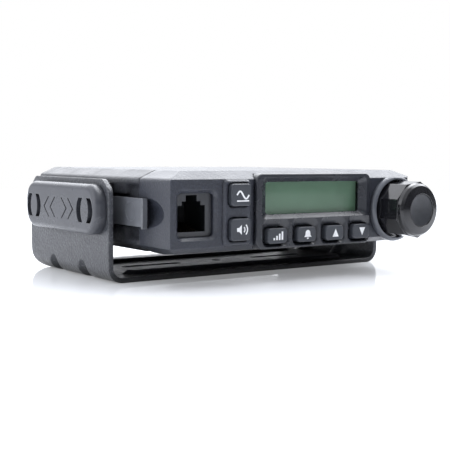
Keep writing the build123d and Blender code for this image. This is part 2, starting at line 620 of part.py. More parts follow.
# A round moulded collar that the knob turns in. Its right edge is flush with the set's side.
with BuildPart() as knob_collar:
    with BuildSketch(Plane.XY.offset(KNOB_Z)) as ring:
        with BuildLine():
            Polyline(
                (KNOB_X + COLLAR_R, FACE_Y - 0.3), (KNOB_X + COLLAR_R, FACE_Y),
                (KNOB_X + COLLAR_BORE, FACE_Y), (KNOB_X + COLLAR_BORE, FACE_Y - 1.9),
                (KNOB_X + COLLAR_BORE + 0.15, FACE_Y - 2.1),
            )
            TangentArc(
                (KNOB_X + COLLAR_BORE + 0.15, FACE_Y - 2.1), (KNOB_X + COLLAR_R, FACE_Y - 0.3),
                tangent=(1, 0.15),
            )
        make_face()
    revolve(ring.sketch, axis=Axis((KNOB_X, 0, KNOB_Z), (0, 1, 0)))
    block(
        KNOB_X - 2 * COLLAR_R, HALF_W - 0.3, FACE_Y - 4, FACE_Y + 1,
        BODY_BASE, BODY_TOP - TOP_BEVEL + 0.1, Mode.INTERSECT,
    )

knob_collar.part.label = "knob_collar"
export_step(knob_collar.part, "parts/knob_collar.step")

KEYS_X = [SMALL_KEY_X + n * SMALL_KEY_PITCH for n in range(4)]

with BuildPart() as display_frame:
    rounded_y(
        FRAME_X0, FRAME_X1, FRAME_Z0, FRAME_Z1, FRAME_CORNER,
        FACE_Y + FRAME_DEPTH, FACE_Y - FRAME_PROUD,
    )
    fillet(display_frame.faces().sort_by(Axis.Y)[0].edges(), 0.6)
    with BuildSketch(front_plane(FACE_Y)) as window:
        with Locations(((GLASS_X0 + GLASS_X1) / 2, (GLASS_Z0 + GLASS_Z1) / 2)):
            RectangleRounded(GLASS_X1 - GLASS_X0, GLASS_Z1 - GLASS_Z0, 1.0)
    with BuildSketch(front_plane(FACE_Y - FRAME_PROUD)) as bezel:
        with Locations(((GLASS_X0 + GLASS_X1) / 2, (GLASS_Z0 + GLASS_Z1) / 2)):
            RectangleRounded(
                GLASS_X1 - GLASS_X0 + 2 * BEZEL_END, GLASS_Z1 - GLASS_Z0 + 2 * BEZEL_SIDE, 1.8
            )
    loft([bezel.sketch.face(), window.sketch.face()], mode=Mode.SUBTRACT)
    rounded_y(
        GLASS_X0, GLASS_X1, GLASS_Z0, GLASS_Z1, 1.0, FACE_Y, FACE_Y + FRAME_DEPTH, Mode.SUBTRACT
    )
    rounded_y(
        GLASS_X0 - 1, GLASS_X1 + 1, GLASS_Z0 - 1, GLASS_Z1 + 1, 0.6,
        FACE_Y + 0.6, FACE_Y + FRAME_DEPTH, Mode.SUBTRACT,
    )
    for key_x in KEYS_X:
        with BuildSketch(front_plane(FACE_Y - FRAME_PROUD)) as mouth:
            with Locations((key_x, SMALL_KEY_Z + 0.9)):
                RectangleRounded(SMALL_KEY_W + 3.2, SMALL_KEY_H + 4.0, 2.2)
        with BuildSketch(front_plane(FACE_Y - FRAME_PROUD + 0.9)) as throat:
            with Locations((key_x, SMALL_KEY_Z)):
                RectangleRounded(SMALL_KEY_W + 2 * KEY_GAP, SMALL_KEY_H + 2 * KEY_GAP, 1.3)
        loft([mouth.sketch.face(), throat.sketch.face()], mode=Mode.SUBTRACT)
        rounded_y(
            key_x - SMALL_KEY_W / 2 - KEY_GAP, key_x + SMALL_KEY_W / 2 + KEY_GAP,
            SMALL_KEY_Z - SMALL_KEY_H / 2 - KEY_GAP, SMALL_KEY_Z + SMALL_KEY_H / 2 + KEY_GAP, 1.3,
            FACE_Y - FRAME_PROUD, FACE_Y + FRAME_DEPTH, Mode.SUBTRACT,
        )

display_frame.part.label = "display_frame"
export_step(display_frame.part, "parts/display_frame.step")

# ==== Display and keys =======================================================================

with BuildPart() as display_lens:
    rounded_y(
        GLASS_X0 - 0.9, GLASS_X1 + 0.9, GLASS_Z0 - 0.9, GLASS_Z1 + 0.9, 0.5,
        FACE_Y + 1.8, FACE_Y + 0.62,
    )

display_lens.part.label = "display_lens"
export_step(display_lens.part, "parts/display_lens.step")

LCD_FRONT, LCD_REAR = FACE_Y + 2.6, FACE_Y + 4.6
LIGHT_REAR = FACE_Y + 7.2

with BuildPart() as lcd_module:
    block(
        GLASS_X0 - 1.6, GLASS_X1 + 1.6, LCD_FRONT, LCD_REAR - 0.8, GLASS_Z0 - 0.9, GLASS_Z1 + 0.9
    )
    block(GLASS_X0 - 1.6, GLASS_X1 + 1.6, LCD_REAR - 0.8, LCD_REAR, GLASS_Z0 - 1.6, GLASS_Z1 + 0.9)

lcd_module.part.label = "lcd_module"
export_step(lcd_module.part, "parts/lcd_module.step")

with BuildPart() as backlight_guide:
    block(
        GLASS_X0 - 1.6, GLASS_X1 + 1.6, LCD_REAR + 0.05, LIGHT_REAR,
        GLASS_Z0 - 1.6, GLASS_Z1 + 0.9,
    )
    for x in (GLASS_X0 + 3, GLASS_X1 - 3):
        cylinder_y(x, GLASS_Z0 + 4.9, 1.2, LIGHT_REAR, FRONT_BOARD_Y)

backlight_guide.part.label = "backlight_guide"
export_step(backlight_guide.part, "parts/backlight_guide.step")

with BuildPart() as front_board:
    block(
        -34.8, 34.0, FRONT_BOARD_Y, FRONT_BOARD_Y + BOARD_T, BODY_BASE + 2.0, BODY_TOP - 2.2
    )
    for x in PILLAR_X:
        cylinder_y(x, PILLAR_Z, 1.0, FRONT_BOARD_Y, FRONT_BOARD_Y + BOARD_T, Mode.SUBTRACT)

front_board.part.label = "front_board"
export_step(front_board.part, "parts/front_board.step")

with BuildPart() as front_board_screws:
    for x in PILLAR_X:
        cylinder_y(x, PILLAR_Z, 0.8, FRONT_BOARD_Y - 4, FRONT_BOARD_Y + BOARD_T)
        cylinder_y(x, PILLAR_Z, 1.5, FRONT_BOARD_Y + BOARD_T, FRONT_BOARD_Y + BOARD_T + 1.1)

front_board_screws.part.label = "front_board_screws"
export_step(front_board_screws.part, "parts/front_board_screws.step")

KEY_TRAVEL = 0.8
SMALL_FRONT = FACE_Y - FRAME_PROUD - 1.0
LARGE_FRONT = FACE_Y - RIDGE_PROUD - 1.5
SWITCH_TOP = FRONT_BOARD_Y - 3.4


def key(x, z, width, height, front, flange_front):
    """A moulded key: cap, a flange that keeps it in, and a stem that reaches its switch."""
    with BuildPart() as cap:
        rounded_y(
            x - width / 2, x + width / 2, z - height / 2, z + height / 2, 1.2, flange_front, front
        )
        fillet(cap.faces().sort_by(Axis.Y)[0].edges(), 0.45)
        block(
            x - width / 2 - 0.9, x + width / 2 + 0.9, flange_front, flange_front + 0.9,
            z - height / 2, z + height / 2,
        )
        cylinder_y(x, z, 1.6, flange_front + 0.9, SWITCH_TOP - KEY_TRAVEL - 0.1)
    return cap


small_flange = FACE_Y + FRAME_DEPTH + 0.15
for name, x in zip(("gain_key", "alert_key", "up_key", "down_key"), KEYS_X):
    cap = key(x, SMALL_KEY_Z, SMALL_KEY_W, SMALL_KEY_H, SMALL_FRONT, small_flange)
    cap.part.label = name
    export_step(cap.part, f"parts/{name}.step")

large_flange = FACE_Y + FRONT_WALL + 0.15
for name, z in (("mode_key", MODE_KEY_Z), ("squelch_key", SQUELCH_KEY_Z)):
    cap = key(LARGE_KEY_X, z, LARGE_KEY_W, LARGE_KEY_H, LARGE_FRONT, large_flange)
    cap.part.label = name
    export_step(cap.part, f"parts/{name}.step")

with BuildPart() as tact_switches:
    places = [(x, SMALL_KEY_Z) for x in KEYS_X]
    places += [(LARGE_KEY_X, MODE_KEY_Z), (LARGE_KEY_X, SQUELCH_KEY_Z)]
    for x, z in places:
        block(x - 2.6, x + 2.6, SWITCH_TOP + 0.5, FRONT_BOARD_Y, z - 2.6, z + 2.6)
        cylinder_y(x, z, 1.3, SWITCH_TOP, SWITCH_TOP + 0.5)

tact_switches.part.label = "tact_switches"
export_step(tact_switches.part, "parts/tact_switches.step")

# ==== Microphone socket ======================================================================

JACK_FRONT, JACK_REAR = FACE_Y + 2.2, FACE_Y + 15.6
JACK_EDGE = JACK_BEVEL + 0.05

with BuildPart() as mic_socket:
    rounded_y(
        JACK_X0 + JACK_EDGE, JACK_X1 - JACK_EDGE, JACK_Z0 + JACK_EDGE, JACK_Z1 - JACK_EDGE, 1.35,
        JACK_FRONT, JACK_REAR,
    )
    block(
        PLUG_X - PLUG_W / 2, PLUG_X + PLUG_W / 2, JACK_FRONT, JACK_REAR - 1.8,
        PLUG_Z0, PLUG_Z1, Mode.SUBTRACT,
    )
    for half, top in ((3.4, 1.25), (2.0, 3.1)):
        block(
            PLUG_X - half, PLUG_X + half, JACK_FRONT, JACK_REAR - 3.0,
            PLUG_Z1, PLUG_Z1 + top, Mode.SUBTRACT,
        )

mic_socket.part.label = "mic_socket"
export_step(mic_socket.part, "parts/mic_socket.step")

# Six sprung wires rise from the socket's floor towards its mouth.
with BuildPart() as mic_contacts:
    for pin in range(6):
        pin_x = PLUG_X + (pin - 2.5) * 1.02
        with BuildSketch(side_plane(pin_x - 0.18)) as wire:
            with BuildLine():
                Polyline(
                    (JACK_REAR - 1.8, PLUG_Z0), (JACK_REAR - 11.5, PLUG_Z0),
                    (JACK_REAR - 11.8, PLUG_Z0 + 0.4), (JACK_REAR - 4.2, PLUG_Z0 + 2.4),
                    (JACK_REAR - 4.0, PLUG_Z0 + 2.0), (JACK_REAR - 10.2, PLUG_Z0 + 0.36),
                    (JACK_REAR - 1.8, PLUG_Z0 + 0.36),
                    close=True,
                )
            make_face()
        extrude(wire.sketch, amount=0.36)

mic_contacts.part.label = "mic_contacts"
export_step(mic_contacts.part, "parts/mic_contacts.step")

with BuildPart() as mic_board:
    block(
        JACK_X0 + 1.3, JACK_X1 - 1.4, JACK_REAR, PANEL_REAR - 1.55, JACK_Z0 + 1.2, JACK_Z1 - 1.1
    )

mic_board.part.label = "mic_board"
export_step(mic_board.part, "parts/mic_board.step")

# ==== Volume control =========================================================================

NUT_T = 2.0
POT_FRONT, POT_REAR = FACE_Y + FRONT_WALL, FACE_Y + 11.2

with BuildPart() as volume_pot:
    block(KNOB_X - 4.2, KNOB_X + 4.2, POT_FRONT, POT_REAR, KNOB_Z - 4.8, KNOB_Z + 4.8)
    cylinder_y(KNOB_X, KNOB_Z, 3.5, FACE_Y - 1.4, POT_FRONT)
    cylinder_y(KNOB_X, KNOB_Z, SHAFT_R + 0.05, FACE_Y - 2, POT_REAR - 2.5, Mode.SUBTRACT)
    for step in (-1, 0, 1):
        block(
            KNOB_X + step * 2.5 - 0.4, KNOB_X + step * 2.5 + 0.4, POT_REAR, POT_REAR + 3.0,
            KNOB_Z - 4.3, KNOB_Z - 3.9,
        )

volume_pot.part.label = "volume_pot"
export_step(volume_pot.part, "parts/volume_pot.step")

with BuildPart() as pot_nut:
    with BuildSketch(front_plane(FACE_Y + 1.2)) as hexagon:
        with Locations((KNOB_X, KNOB_Z)):
            RegularPolygon(5.6, 6)
            Circle(3.52, mode=Mode.SUBTRACT)
    extrude(hexagon.sketch, amount=NUT_T)

pot_nut.part.label = "pot_nut"
export_step(pot_nut.part, "parts/pot_nut.step")

# The shaft's front end is a D, so the knob can't slip on it.
with BuildPart() as pot_shaft:
    cylinder_y(KNOB_X, KNOB_Z, SHAFT_R, KNOB_FRONT + 3.0, POT_REAR - 2.6)
    block(
        KNOB_X - 4, KNOB_X + 4, KNOB_FRONT + 2, FACE_Y - 3.0, KNOB_Z + 1.5, KNOB_Z + 4,
        Mode.SUBTRACT,
    )

pot_shaft.part.label = "pot_shaft"
export_step(pot_shaft.part, "parts/pot_shaft.step")

KNOB_FLATS = 9
DISH_R = 5.6
DISH_BALL = 22.0                    # radius of the ball that hollows the cap
CROWN_R = 9.25
CROWN_Y = KNOB_FRONT + 2.8          # where the round crown ends and the nine flats start

# Nine flats run up the knob's side to a plain round crown with a recess for its cap.
with BuildPart() as volume_knob:
    with BuildSketch(Plane.XY.offset(KNOB_Z)) as half:
        with BuildLine():
            Polyline(
                (KNOB_X + DISH_R, KNOB_FRONT + 1.5), (KNOB_X + DISH_R, KNOB_FRONT + 0.2),
                (KNOB_X + DISH_R + 0.15, KNOB_FRONT), (KNOB_X + DISH_R + 0.5, KNOB_FRONT + 0.1),
                (KNOB_X + CROWN_R - 0.95, KNOB_FRONT + 0.75),
                (KNOB_X + CROWN_R - 0.25, KNOB_FRONT + 1.6), (KNOB_X + CROWN_R, CROWN_Y),
                (KNOB_X + KNOB_R, CROWN_Y + 0.1), (KNOB_X + KNOB_R, KNOB_BACK),
                (KNOB_X + 7.2, KNOB_BACK), (KNOB_X + 7.2, KNOB_BACK - 4.4),
                (KNOB_X, KNOB_BACK - 4.4), (KNOB_X, KNOB_FRONT + 1.5),
                close=True,
            )
        make_face()
    revolve(half.sketch, axis=Axis((KNOB_X, 0, KNOB_Z), (0, 1, 0)))
    for flat in range(KNOB_FLATS):
        angle = radians(178 + flat * 360 / KNOB_FLATS)
        outward = (cos(angle), 0, sin(angle))
        apothem = KNOB_R * cos(radians(180 / KNOB_FLATS))
        middle = (KNOB_X + outward[0] * apothem, CROWN_Y, KNOB_Z + outward[2] * apothem)
        with BuildSketch(Plane(middle, x_dir=(0, 1, 0), z_dir=outward)) as cut:
            with Locations((7, 0)):
                Rectangle(16, 8)
        extrude(cut.sketch, amount=3, mode=Mode.SUBTRACT)
    cylinder_y(KNOB_X, KNOB_Z, SHAFT_R + 0.02, KNOB_FRONT + 3.0, FACE_Y, Mode.SUBTRACT)
    block(
        KNOB_X - 2.55, KNOB_X + 2.55, KNOB_FRONT + 3.0, FACE_Y - 5.0, KNOB_Z + 1.5, KNOB_Z + 3.4
    )

volume_knob.part.label = "volume_knob"
export_step(volume_knob.part, "parts/volume_knob.step")

with BuildPart() as knob_cap:
    cylinder_y(KNOB_X, KNOB_Z, DISH_R - 0.03, KNOB_FRONT + 0.35, KNOB_FRONT + 1.5)
    with Locations((KNOB_X, KNOB_FRONT + 1.0 - DISH_BALL, KNOB_Z)):
        Sphere(DISH_BALL, mode=Mode.SUBTRACT)

knob_cap.part.label = "knob_cap"
export_step(knob_cap.part, "parts/knob_cap.step")

# ==== Main board =============================================================================

BOARD_TOP = MAIN_BOARD_Z + BOARD_T

with BuildPart() as main_board:
    block(
        -MAIN_BOARD_HALF, MAIN_BOARD_HALF, MAIN_BOARD_Y0, MAIN_BOARD_Y1, MAIN_BOARD_Z, BOARD_TOP
    )
    for x in (-BOSS_X, BOSS_X):
        for y in (BOSS_Y0, BOSS_Y1):
            cylinder_z(x, y, 1.1, MAIN_BOARD_Z, BOARD_TOP, Mode.SUBTRACT)
    # Its rear edge is notched round the rear sockets.
    for x, half, y in ((ANTENNA_X, 7.5, 29.8), (POWER_X, 7.0, 29.8), (SOUND_X, 4.3, 25.8)):
        block(x - half, x + half, y, MAIN_BOARD_Y1, MAIN_BOARD_Z, BOARD_TOP, Mode.SUBTRACT)

main_board.part.label = "main_board"
export_step(main_board.part, "parts/main_board.step")

with BuildPart() as main_board_screws:
    for x in (-BOSS_X, BOSS_X):
        for y in (BOSS_Y0, BOSS_Y1):
            screw_z(x, y, BOARD_TOP, 3.6, 1.0, 1.4, 1.2, up=False)

main_board_screws.part.label = "main_board_screws"
export_step(main_board_screws.part, "parts/main_board_screws.step")

# A right-angle pin header joins the front board to the main board.
with BuildPart() as board_header:
    header_y = FRONT_BOARD_Y + BOARD_T
    block(-14.0, 14.0, header_y, header_y + 2.5, BOARD_TOP + 1.0, BOARD_TOP + 3.5)
    block(-14.0, 14.0, MAIN_BOARD_Y0 + 1.0, MAIN_BOARD_Y0 + 9.5, BOARD_TOP, BOARD_TOP + 5.0)
    for pin in range(11):
        pin_x = (pin - 5) * 2.54
        block(
            pin_x - 0.32, pin_x + 0.32, header_y + 2.5, MAIN_BOARD_Y0 + 1.0,
            BOARD_TOP + 1.9, BOARD_TOP + 2.54,
        )

board_header.part.label = "board_header"
export_step(board_header.part, "parts/board_header.step")

with BuildPart() as shield_can:
    block(-40.0, -16.0, -14.0, 6.0, BOARD_TOP, BOARD_TOP + 6.5)
    fillet(shield_can.edges().filter_by(Axis.Z), 1.0)
    block(-39.6, -16.4, -13.6, 5.6, BOARD_TOP, BOARD_TOP + 6.1, Mode.SUBTRACT)
    with BuildSketch(level(BOARD_TOP + 6.0)) as tuning_holes:
        with Locations((-28.0, -4.0)):
            with GridLocations(7.0, 8.0, 3, 2):
                Circle(1.2)
    extrude(tuning_holes.sketch, amount=1.0, mode=Mode.SUBTRACT)

shield_can.part.label = "shield_can"
export_step(shield_can.part, "parts/shield_can.step")

with BuildPart() as tuning_coils:
    for n in range(5):
        x = -10.0 + n * 9.5
        block(x - 3.5, x + 3.5, -12.0, -5.0, BOARD_TOP, BOARD_TOP + 8.5)
        cylinder_z(x, -8.5, 1.6, BOARD_TOP + 7.7, BOARD_TOP + 8.5, Mode.SUBTRACT)
        block(x - 1.3, x + 1.3, -8.8, -8.2, BOARD_TOP + 7.2, BOARD_TOP + 7.7, Mode.SUBTRACT)

tuning_coils.part.label = "tuning_coils"
export_step(tuning_coils.part, "parts/tuning_coils.step")

with BuildPart() as control_chips:
    block(-6.0, 6.0, 1.0, 13.0, BOARD_TOP, BOARD_TOP + 1.4)
    block(12.0, 20.0, 0.0, 6.0, BOARD_TOP, BOARD_TOP + 1.6)
    block(12.0, 20.0, 9.0, 15.0, BOARD_TOP, BOARD_TOP + 1.6)
    block(-38.0, -31.0, -25.0, -18.5, BOARD_TOP, BOARD_TOP + 1.6)

control_chips.part.label = "control_chips"
export_step(control_chips.part, "parts/control_chips.step")

with BuildPart() as crystals:
    for x, y in ((-9.5, 16.5), (3.0, 16.5), (26.0, 3.0)):
        with BuildSketch(level(BOARD_TOP)) as can:
            with Locations((x, y)):
                SlotOverall(10.5, 4.4)
        extrude(can.sketch, amount=3.4)

crystals.part.label = "crystals"
export_step(crystals.part, "parts/crystals.step")

with BuildPart() as capacitors:
    for x, y, radius, tall in (
        (-36.0, 12.0, 4.0, 10.5), (-26.0, 12.0, 4.0, 10.5), (-17.0, 11.5, 3.2, 9.0),
        (34.0, -1.0, 3.2, 9.0), (36.0, 10.0, 4.0, 10.5),
    ):
        cylinder_z(x, y, radius, BOARD_TOP, BOARD_TOP + tall)
        for across in (radius * 1.3, radius * 0.22):
            block(
                x - across / 2, x + across / 2, y - radius * 1.52 / 2 + across / 2.35,
                y + radius * 1.52 / 2 - across / 2.35, BOARD_TOP + tall - 0.3, BOARD_TOP + tall,
                Mode.SUBTRACT,
            )

capacitors.part.label = "capacitors"
export_step(capacitors.part, "parts/capacitors.step")

with BuildPart() as filter_coils:
    for x in (10.5, 20.5, 34.5):
        with BuildSketch(level(BOARD_TOP)) as ring:
            with Locations((x, 24.0)):
                Circle(4.2)
                Circle(1.9, mode=Mode.SUBTRACT)
        extrude(ring.sketch, amount=3.6)
        fillet(filter_coils.edges().group_by(Axis.Z)[-1], 0.9)

filter_coils.part.label = "filter_coils"
export_step(filter_coils.part, "parts/filter_coils.step")

with BuildPart() as antenna_relay:
    block(-18.5, -6.5, 19.5, 29.5, BOARD_TOP, BOARD_TOP + 9.5)
    chamfer(antenna_relay.edges().group_by(Axis.Z)[-1], 0.5)

antenna_relay.part.label = "antenna_relay"
export_step(antenna_relay.part, "parts/antenna_relay.step")

# Two power transistors stand on the board with their tabs against the heat sink.
TRANSISTOR_X = (-11.5, 9.8)

with BuildPart() as power_transistors:
    for x in TRANSISTOR_X:
        block(x - 5.0, x + 5.0, SINK_Y - 4.5, SINK_Y - 1.3, BOARD_TOP + 1.2, BOARD_TOP + 10.2)
        block(x - 5.0, x + 5.0, SINK_Y - 1.3, SINK_Y, BOARD_TOP + 1.2, BOARD_TOP + 11.6)
        for step in (-1, 0, 1):
            lead_x = x + step * 2.54
            block(
                lead_x - 0.4, lead_x + 0.4, SINK_Y - 3.2, SINK_Y - 2.7, BOARD_TOP,
                BOARD_TOP + 1.2,
            )

power_transistors.part.label = "power_transistors"
export_step(power_transistors.part, "parts/power_transistors.step")

# ==== Speaker ================================================================================

SPEAKER_BASE = KEEL + COVER_T

with BuildPart() as speaker_frame:
    cylinder_z(0, SPEAKER_Y, SPEAKER_R, SPEAKER_BASE, SPEAKER_BASE + 1.2)
    cylinder_z(0, SPEAKER_Y, SPEAKER_R - 1.5, SPEAKER_BASE, SPEAKER_BASE + 1.2, Mode.SUBTRACT)
    with BuildSketch(level(SPEAKER_BASE + 1.2)) as rim:
        with Locations((0, SPEAKER_Y)):
            Circle(SPEAKER_R - 0.6)
            Circle(SPEAKER_R - 3.0, mode=Mode.SUBTRACT)
    extrude(rim.sketch, amount=1.6)
    cylinder_z(0, SPEAKER_Y, 11.0, SPEAKER_BASE + 3.4, SPEAKER_BASE + 4.2)
    for spoke in range(4):
        angle = spoke * 90 + 45
        with BuildSketch(level(SPEAKER_BASE + 2.4)) as arm:
            with Locations((0, SPEAKER_Y)):
                with PolarLocations(14.1, 1, angle):
                    Rectangle(7.2, 5.0)
        extrude(arm.sketch, amount=1.8)
    cylinder_z(0, SPEAKER_Y, 6.2, SPEAKER_BASE, SPEAKER_BASE + 6, Mode.SUBTRACT)

speaker_frame.part.label = "speaker_frame"
export_step(speaker_frame.part, "parts/speaker_frame.step")

with BuildPart() as speaker_cone:
    with BuildSketch(Plane.XZ) as section:
        with BuildLine():
            Polyline(
                (0, SPEAKER_BASE + 2.0), (3.8, SPEAKER_BASE + 2.9), (5.6, SPEAKER_BASE + 3.2),
                (15.4, SPEAKER_BASE + 0.8), (17.9, SPEAKER_BASE + 0.5), (17.9, SPEAKER_BASE + 0.2),
                (15.4, SPEAKER_BASE + 0.4), (5.6, SPEAKER_BASE + 2.7), (3.8, SPEAKER_BASE + 2.4),
                (0, SPEAKER_BASE + 1.6),
                close=True,
            )
        make_face()
    revolve(section.sketch, axis=Axis.Z)

cone_part = speaker_cone.part.moved(Location((0, SPEAKER_Y, 0)))
cone_part.label = "speaker_cone"
export_step(cone_part, "parts/speaker_cone.step")

with BuildPart() as speaker_magnet:
    cylinder_z(0, SPEAKER_Y, 10.0, SPEAKER_BASE + 4.2, SPEAKER_BASE + 6.6)
    cylinder_z(0, SPEAKER_Y, 5.9, SPEAKER_BASE + 3.5, SPEAKER_BASE + 4.2)

speaker_magnet.part.label = "speaker_magnet"
export_step(speaker_magnet.part, "parts/speaker_magnet.step")

# ==== Rear sockets ===========================================================================

SOCKET_Y = SINK_Y + SINK_T

with BuildPart() as antenna_socket:
    cylinder_y(ANTENNA_X, SOCKET_Z, 9.2, SOCKET_Y, SOCKET_Y + 2.4)
    for way in (-1, 1):
        flat = SOCKET_Z + way * 7.9
        block(
            ANTENNA_X - 10, ANTENNA_X + 10, SOCKET_Y - 1, SOCKET_Y + 3,
            *sorted((flat, flat + way * 3)), Mode.SUBTRACT,
        )
    cylinder_y(ANTENNA_X, SOCKET_Z, 6.9, SOCKET_Y - 6.5, SOCKET_Y)
    cylinder_y(ANTENNA_X, SOCKET_Z, 7.4, SOCKET_Y + 2.4, SOCKET_Y + 3.4)
    cylinder_y(ANTENNA_X, SOCKET_Z, 7.9, SOCKET_Y + 3.4, SOCKET_Y + 15.0)
    cylinder_y(ANTENNA_X, SOCKET_Z, 6.3, SOCKET_Y + 4.5, SOCKET_Y + 15.0, Mode.SUBTRACT)
    cylinder_y(ANTENNA_X, SOCKET_Z, 5.0, SOCKET_Y - 6.5, SOCKET_Y + 4.5, Mode.SUBTRACT)

antenna_socket.part.label = "antenna_socket"
export_step(antenna_socket.part, "parts/antenna_socket.step")

with BuildPart() as antenna_nut:
    with BuildSketch(front_plane(SINK_Y)) as hexagon:
        with Locations((ANTENNA_X, SOCKET_Z)):
            RegularPolygon(9.4, 6)
            Circle(6.92, mode=Mode.SUBTRACT)
    extrude(hexagon.sketch, amount=2.2)

antenna_nut.part.label = "antenna_nut"
export_step(antenna_nut.part, "parts/antenna_nut.step")

with BuildPart() as antenna_insulator:
    cylinder_y(ANTENNA_X, SOCKET_Z, 4.97, SOCKET_Y - 6.5, SOCKET_Y + 4.5)
    cylinder_y(ANTENNA_X, SOCKET_Z, 6.25, SOCKET_Y + 4.5, SOCKET_Y + 6.0)
    cylinder_y(ANTENNA_X, SOCKET_Z, 2.9, SOCKET_Y - 6.5, SOCKET_Y + 6.0, Mode.SUBTRACT)

antenna_insulator.part.label = "antenna_insulator"
export_step(antenna_insulator.part, "parts/antenna_insulator.step")

with BuildPart() as antenna_contact:
    cylinder_y(ANTENNA_X, SOCKET_Z, 2.87, SOCKET_Y - 8.5, SOCKET_Y + 13.5)
    cylinder_y(ANTENNA_X, SOCKET_Z, 2.0, SOCKET_Y + 2.0, SOCKET_Y + 13.5, Mode.SUBTRACT)

antenna_contact.part.label = "antenna_contact"
export_step(antenna_contact.part, "parts/antenna_contact.step")

with BuildPart() as power_socket:
    rounded_y(
        POWER_X - 9.0, POWER_X + 9.0, SOCKET_Z - 6.4, SOCKET_Z + 6.4, 1.5,
        SOCKET_Y, SOCKET_Y + 2.0,
    )
    block(
        POWER_X - 6.4, POWER_X + 6.4, SOCKET_Y - 9.0, SOCKET_Y + 6.0,
        SOCKET_Z - 4.4, SOCKET_Z + 4.4,
    )
    block(
        POWER_X - 5.3, POWER_X + 5.3, SOCKET_Y - 5.0, SOCKET_Y + 6.0,
        SOCKET_Z - 3.3, SOCKET_Z + 3.3, Mode.SUBTRACT,
    )
    block(
        POWER_X - 1.5, POWER_X + 1.5, SOCKET_Y + 2.0, SOCKET_Y + 6.0,
        SOCKET_Z + 3.0, SOCKET_Z + 5.0, Mode.SUBTRACT,
    )

power_socket.part.label = "power_socket"
export_step(power_socket.part, "parts/power_socket.step")

with BuildPart() as power_pins:
    for way in (-1, 1):
        pin_x = POWER_X + way * 2.6
        block(
            pin_x - 0.9, pin_x + 0.9, SOCKET_Y - 12.0, SOCKET_Y - 9.0, SOCKET_Z - 0.4,
            SOCKET_Z + 0.4,
        )
        cylinder_y(pin_x, SOCKET_Z, 1.0, SOCKET_Y - 5.0, SOCKET_Y + 3.5)

power_pins.part.label = "power_pins"
export_step(power_pins.part, "parts/power_pins.step")

with BuildPart() as sound_socket:
    block(
        SOUND_X - 4.0, SOUND_X + 4.0, SINK_Y - 9.5, SINK_Y, SOCKET_Z - 3.8, SOCKET_Z + 4.2
    )
    cylinder_y(SOUND_X, SOCKET_Z, 3.0, SINK_Y, SOCKET_Y + 4.5)
    cylinder_y(SOUND_X, SOCKET_Z, 1.8, SINK_Y - 8.0, SOCKET_Y + 4.5, Mode.SUBTRACT)

sound_socket.part.label = "sound_socket"
export_step(sound_socket.part, "parts/sound_socket.step")

with BuildPart() as sound_socket_nut:
    cylinder_y(SOUND_X, SOCKET_Z, 4.6, SOCKET_Y, SOCKET_Y + 2.2)
    cylinder_y(SOUND_X, SOCKET_Z, 3.02, SOCKET_Y, SOCKET_Y + 2.2, Mode.SUBTRACT)
    for way in (0, 90):
        with BuildSketch(front_plane(SOCKET_Y + 1.6)) as slot:
            with Locations(Location((SOUND_X, SOCKET_Z), way)):
                Rectangle(10.0, 0.9)
        extrude(slot.sketch, amount=-1.0, mode=Mode.SUBTRACT)

sound_socket_nut.part.label = "sound_socket_nut"
export_step(sound_socket_nut.part, "parts/sound_socket_nut.step")
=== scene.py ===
"""A small mobile transceiver in its quick-release bracket.

Its finishes, printed symbols, floor, light and camera. Metres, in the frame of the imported
model: +X to the right, +Y to the rear and +Z up for someone facing the front.
"""

import math

import bmesh
import bpy
from mathutils import Matrix, Vector


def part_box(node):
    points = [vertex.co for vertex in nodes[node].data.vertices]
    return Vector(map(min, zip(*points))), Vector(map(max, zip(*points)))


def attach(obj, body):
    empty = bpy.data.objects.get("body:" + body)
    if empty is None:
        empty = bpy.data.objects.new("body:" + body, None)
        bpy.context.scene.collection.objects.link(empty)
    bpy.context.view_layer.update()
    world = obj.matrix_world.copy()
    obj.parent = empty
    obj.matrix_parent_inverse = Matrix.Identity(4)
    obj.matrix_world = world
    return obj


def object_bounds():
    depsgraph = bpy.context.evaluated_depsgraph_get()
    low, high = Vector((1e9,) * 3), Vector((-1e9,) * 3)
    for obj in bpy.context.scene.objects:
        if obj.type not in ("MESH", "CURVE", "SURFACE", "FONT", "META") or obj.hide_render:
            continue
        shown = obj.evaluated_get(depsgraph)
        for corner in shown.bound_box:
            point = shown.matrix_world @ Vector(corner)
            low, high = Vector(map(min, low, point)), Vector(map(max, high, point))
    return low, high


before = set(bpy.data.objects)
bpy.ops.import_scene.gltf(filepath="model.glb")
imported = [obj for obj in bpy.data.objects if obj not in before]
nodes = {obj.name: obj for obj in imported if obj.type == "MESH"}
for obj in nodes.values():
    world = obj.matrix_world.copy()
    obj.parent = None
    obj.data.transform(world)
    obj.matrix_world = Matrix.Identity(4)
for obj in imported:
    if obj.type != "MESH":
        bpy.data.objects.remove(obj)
cad_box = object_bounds()

MM = 0.001
RANGE_SOCKETS = ("From Min", "From Max", "To Min", "To Max")


# ---- Material building -------------------------------------------------------------------


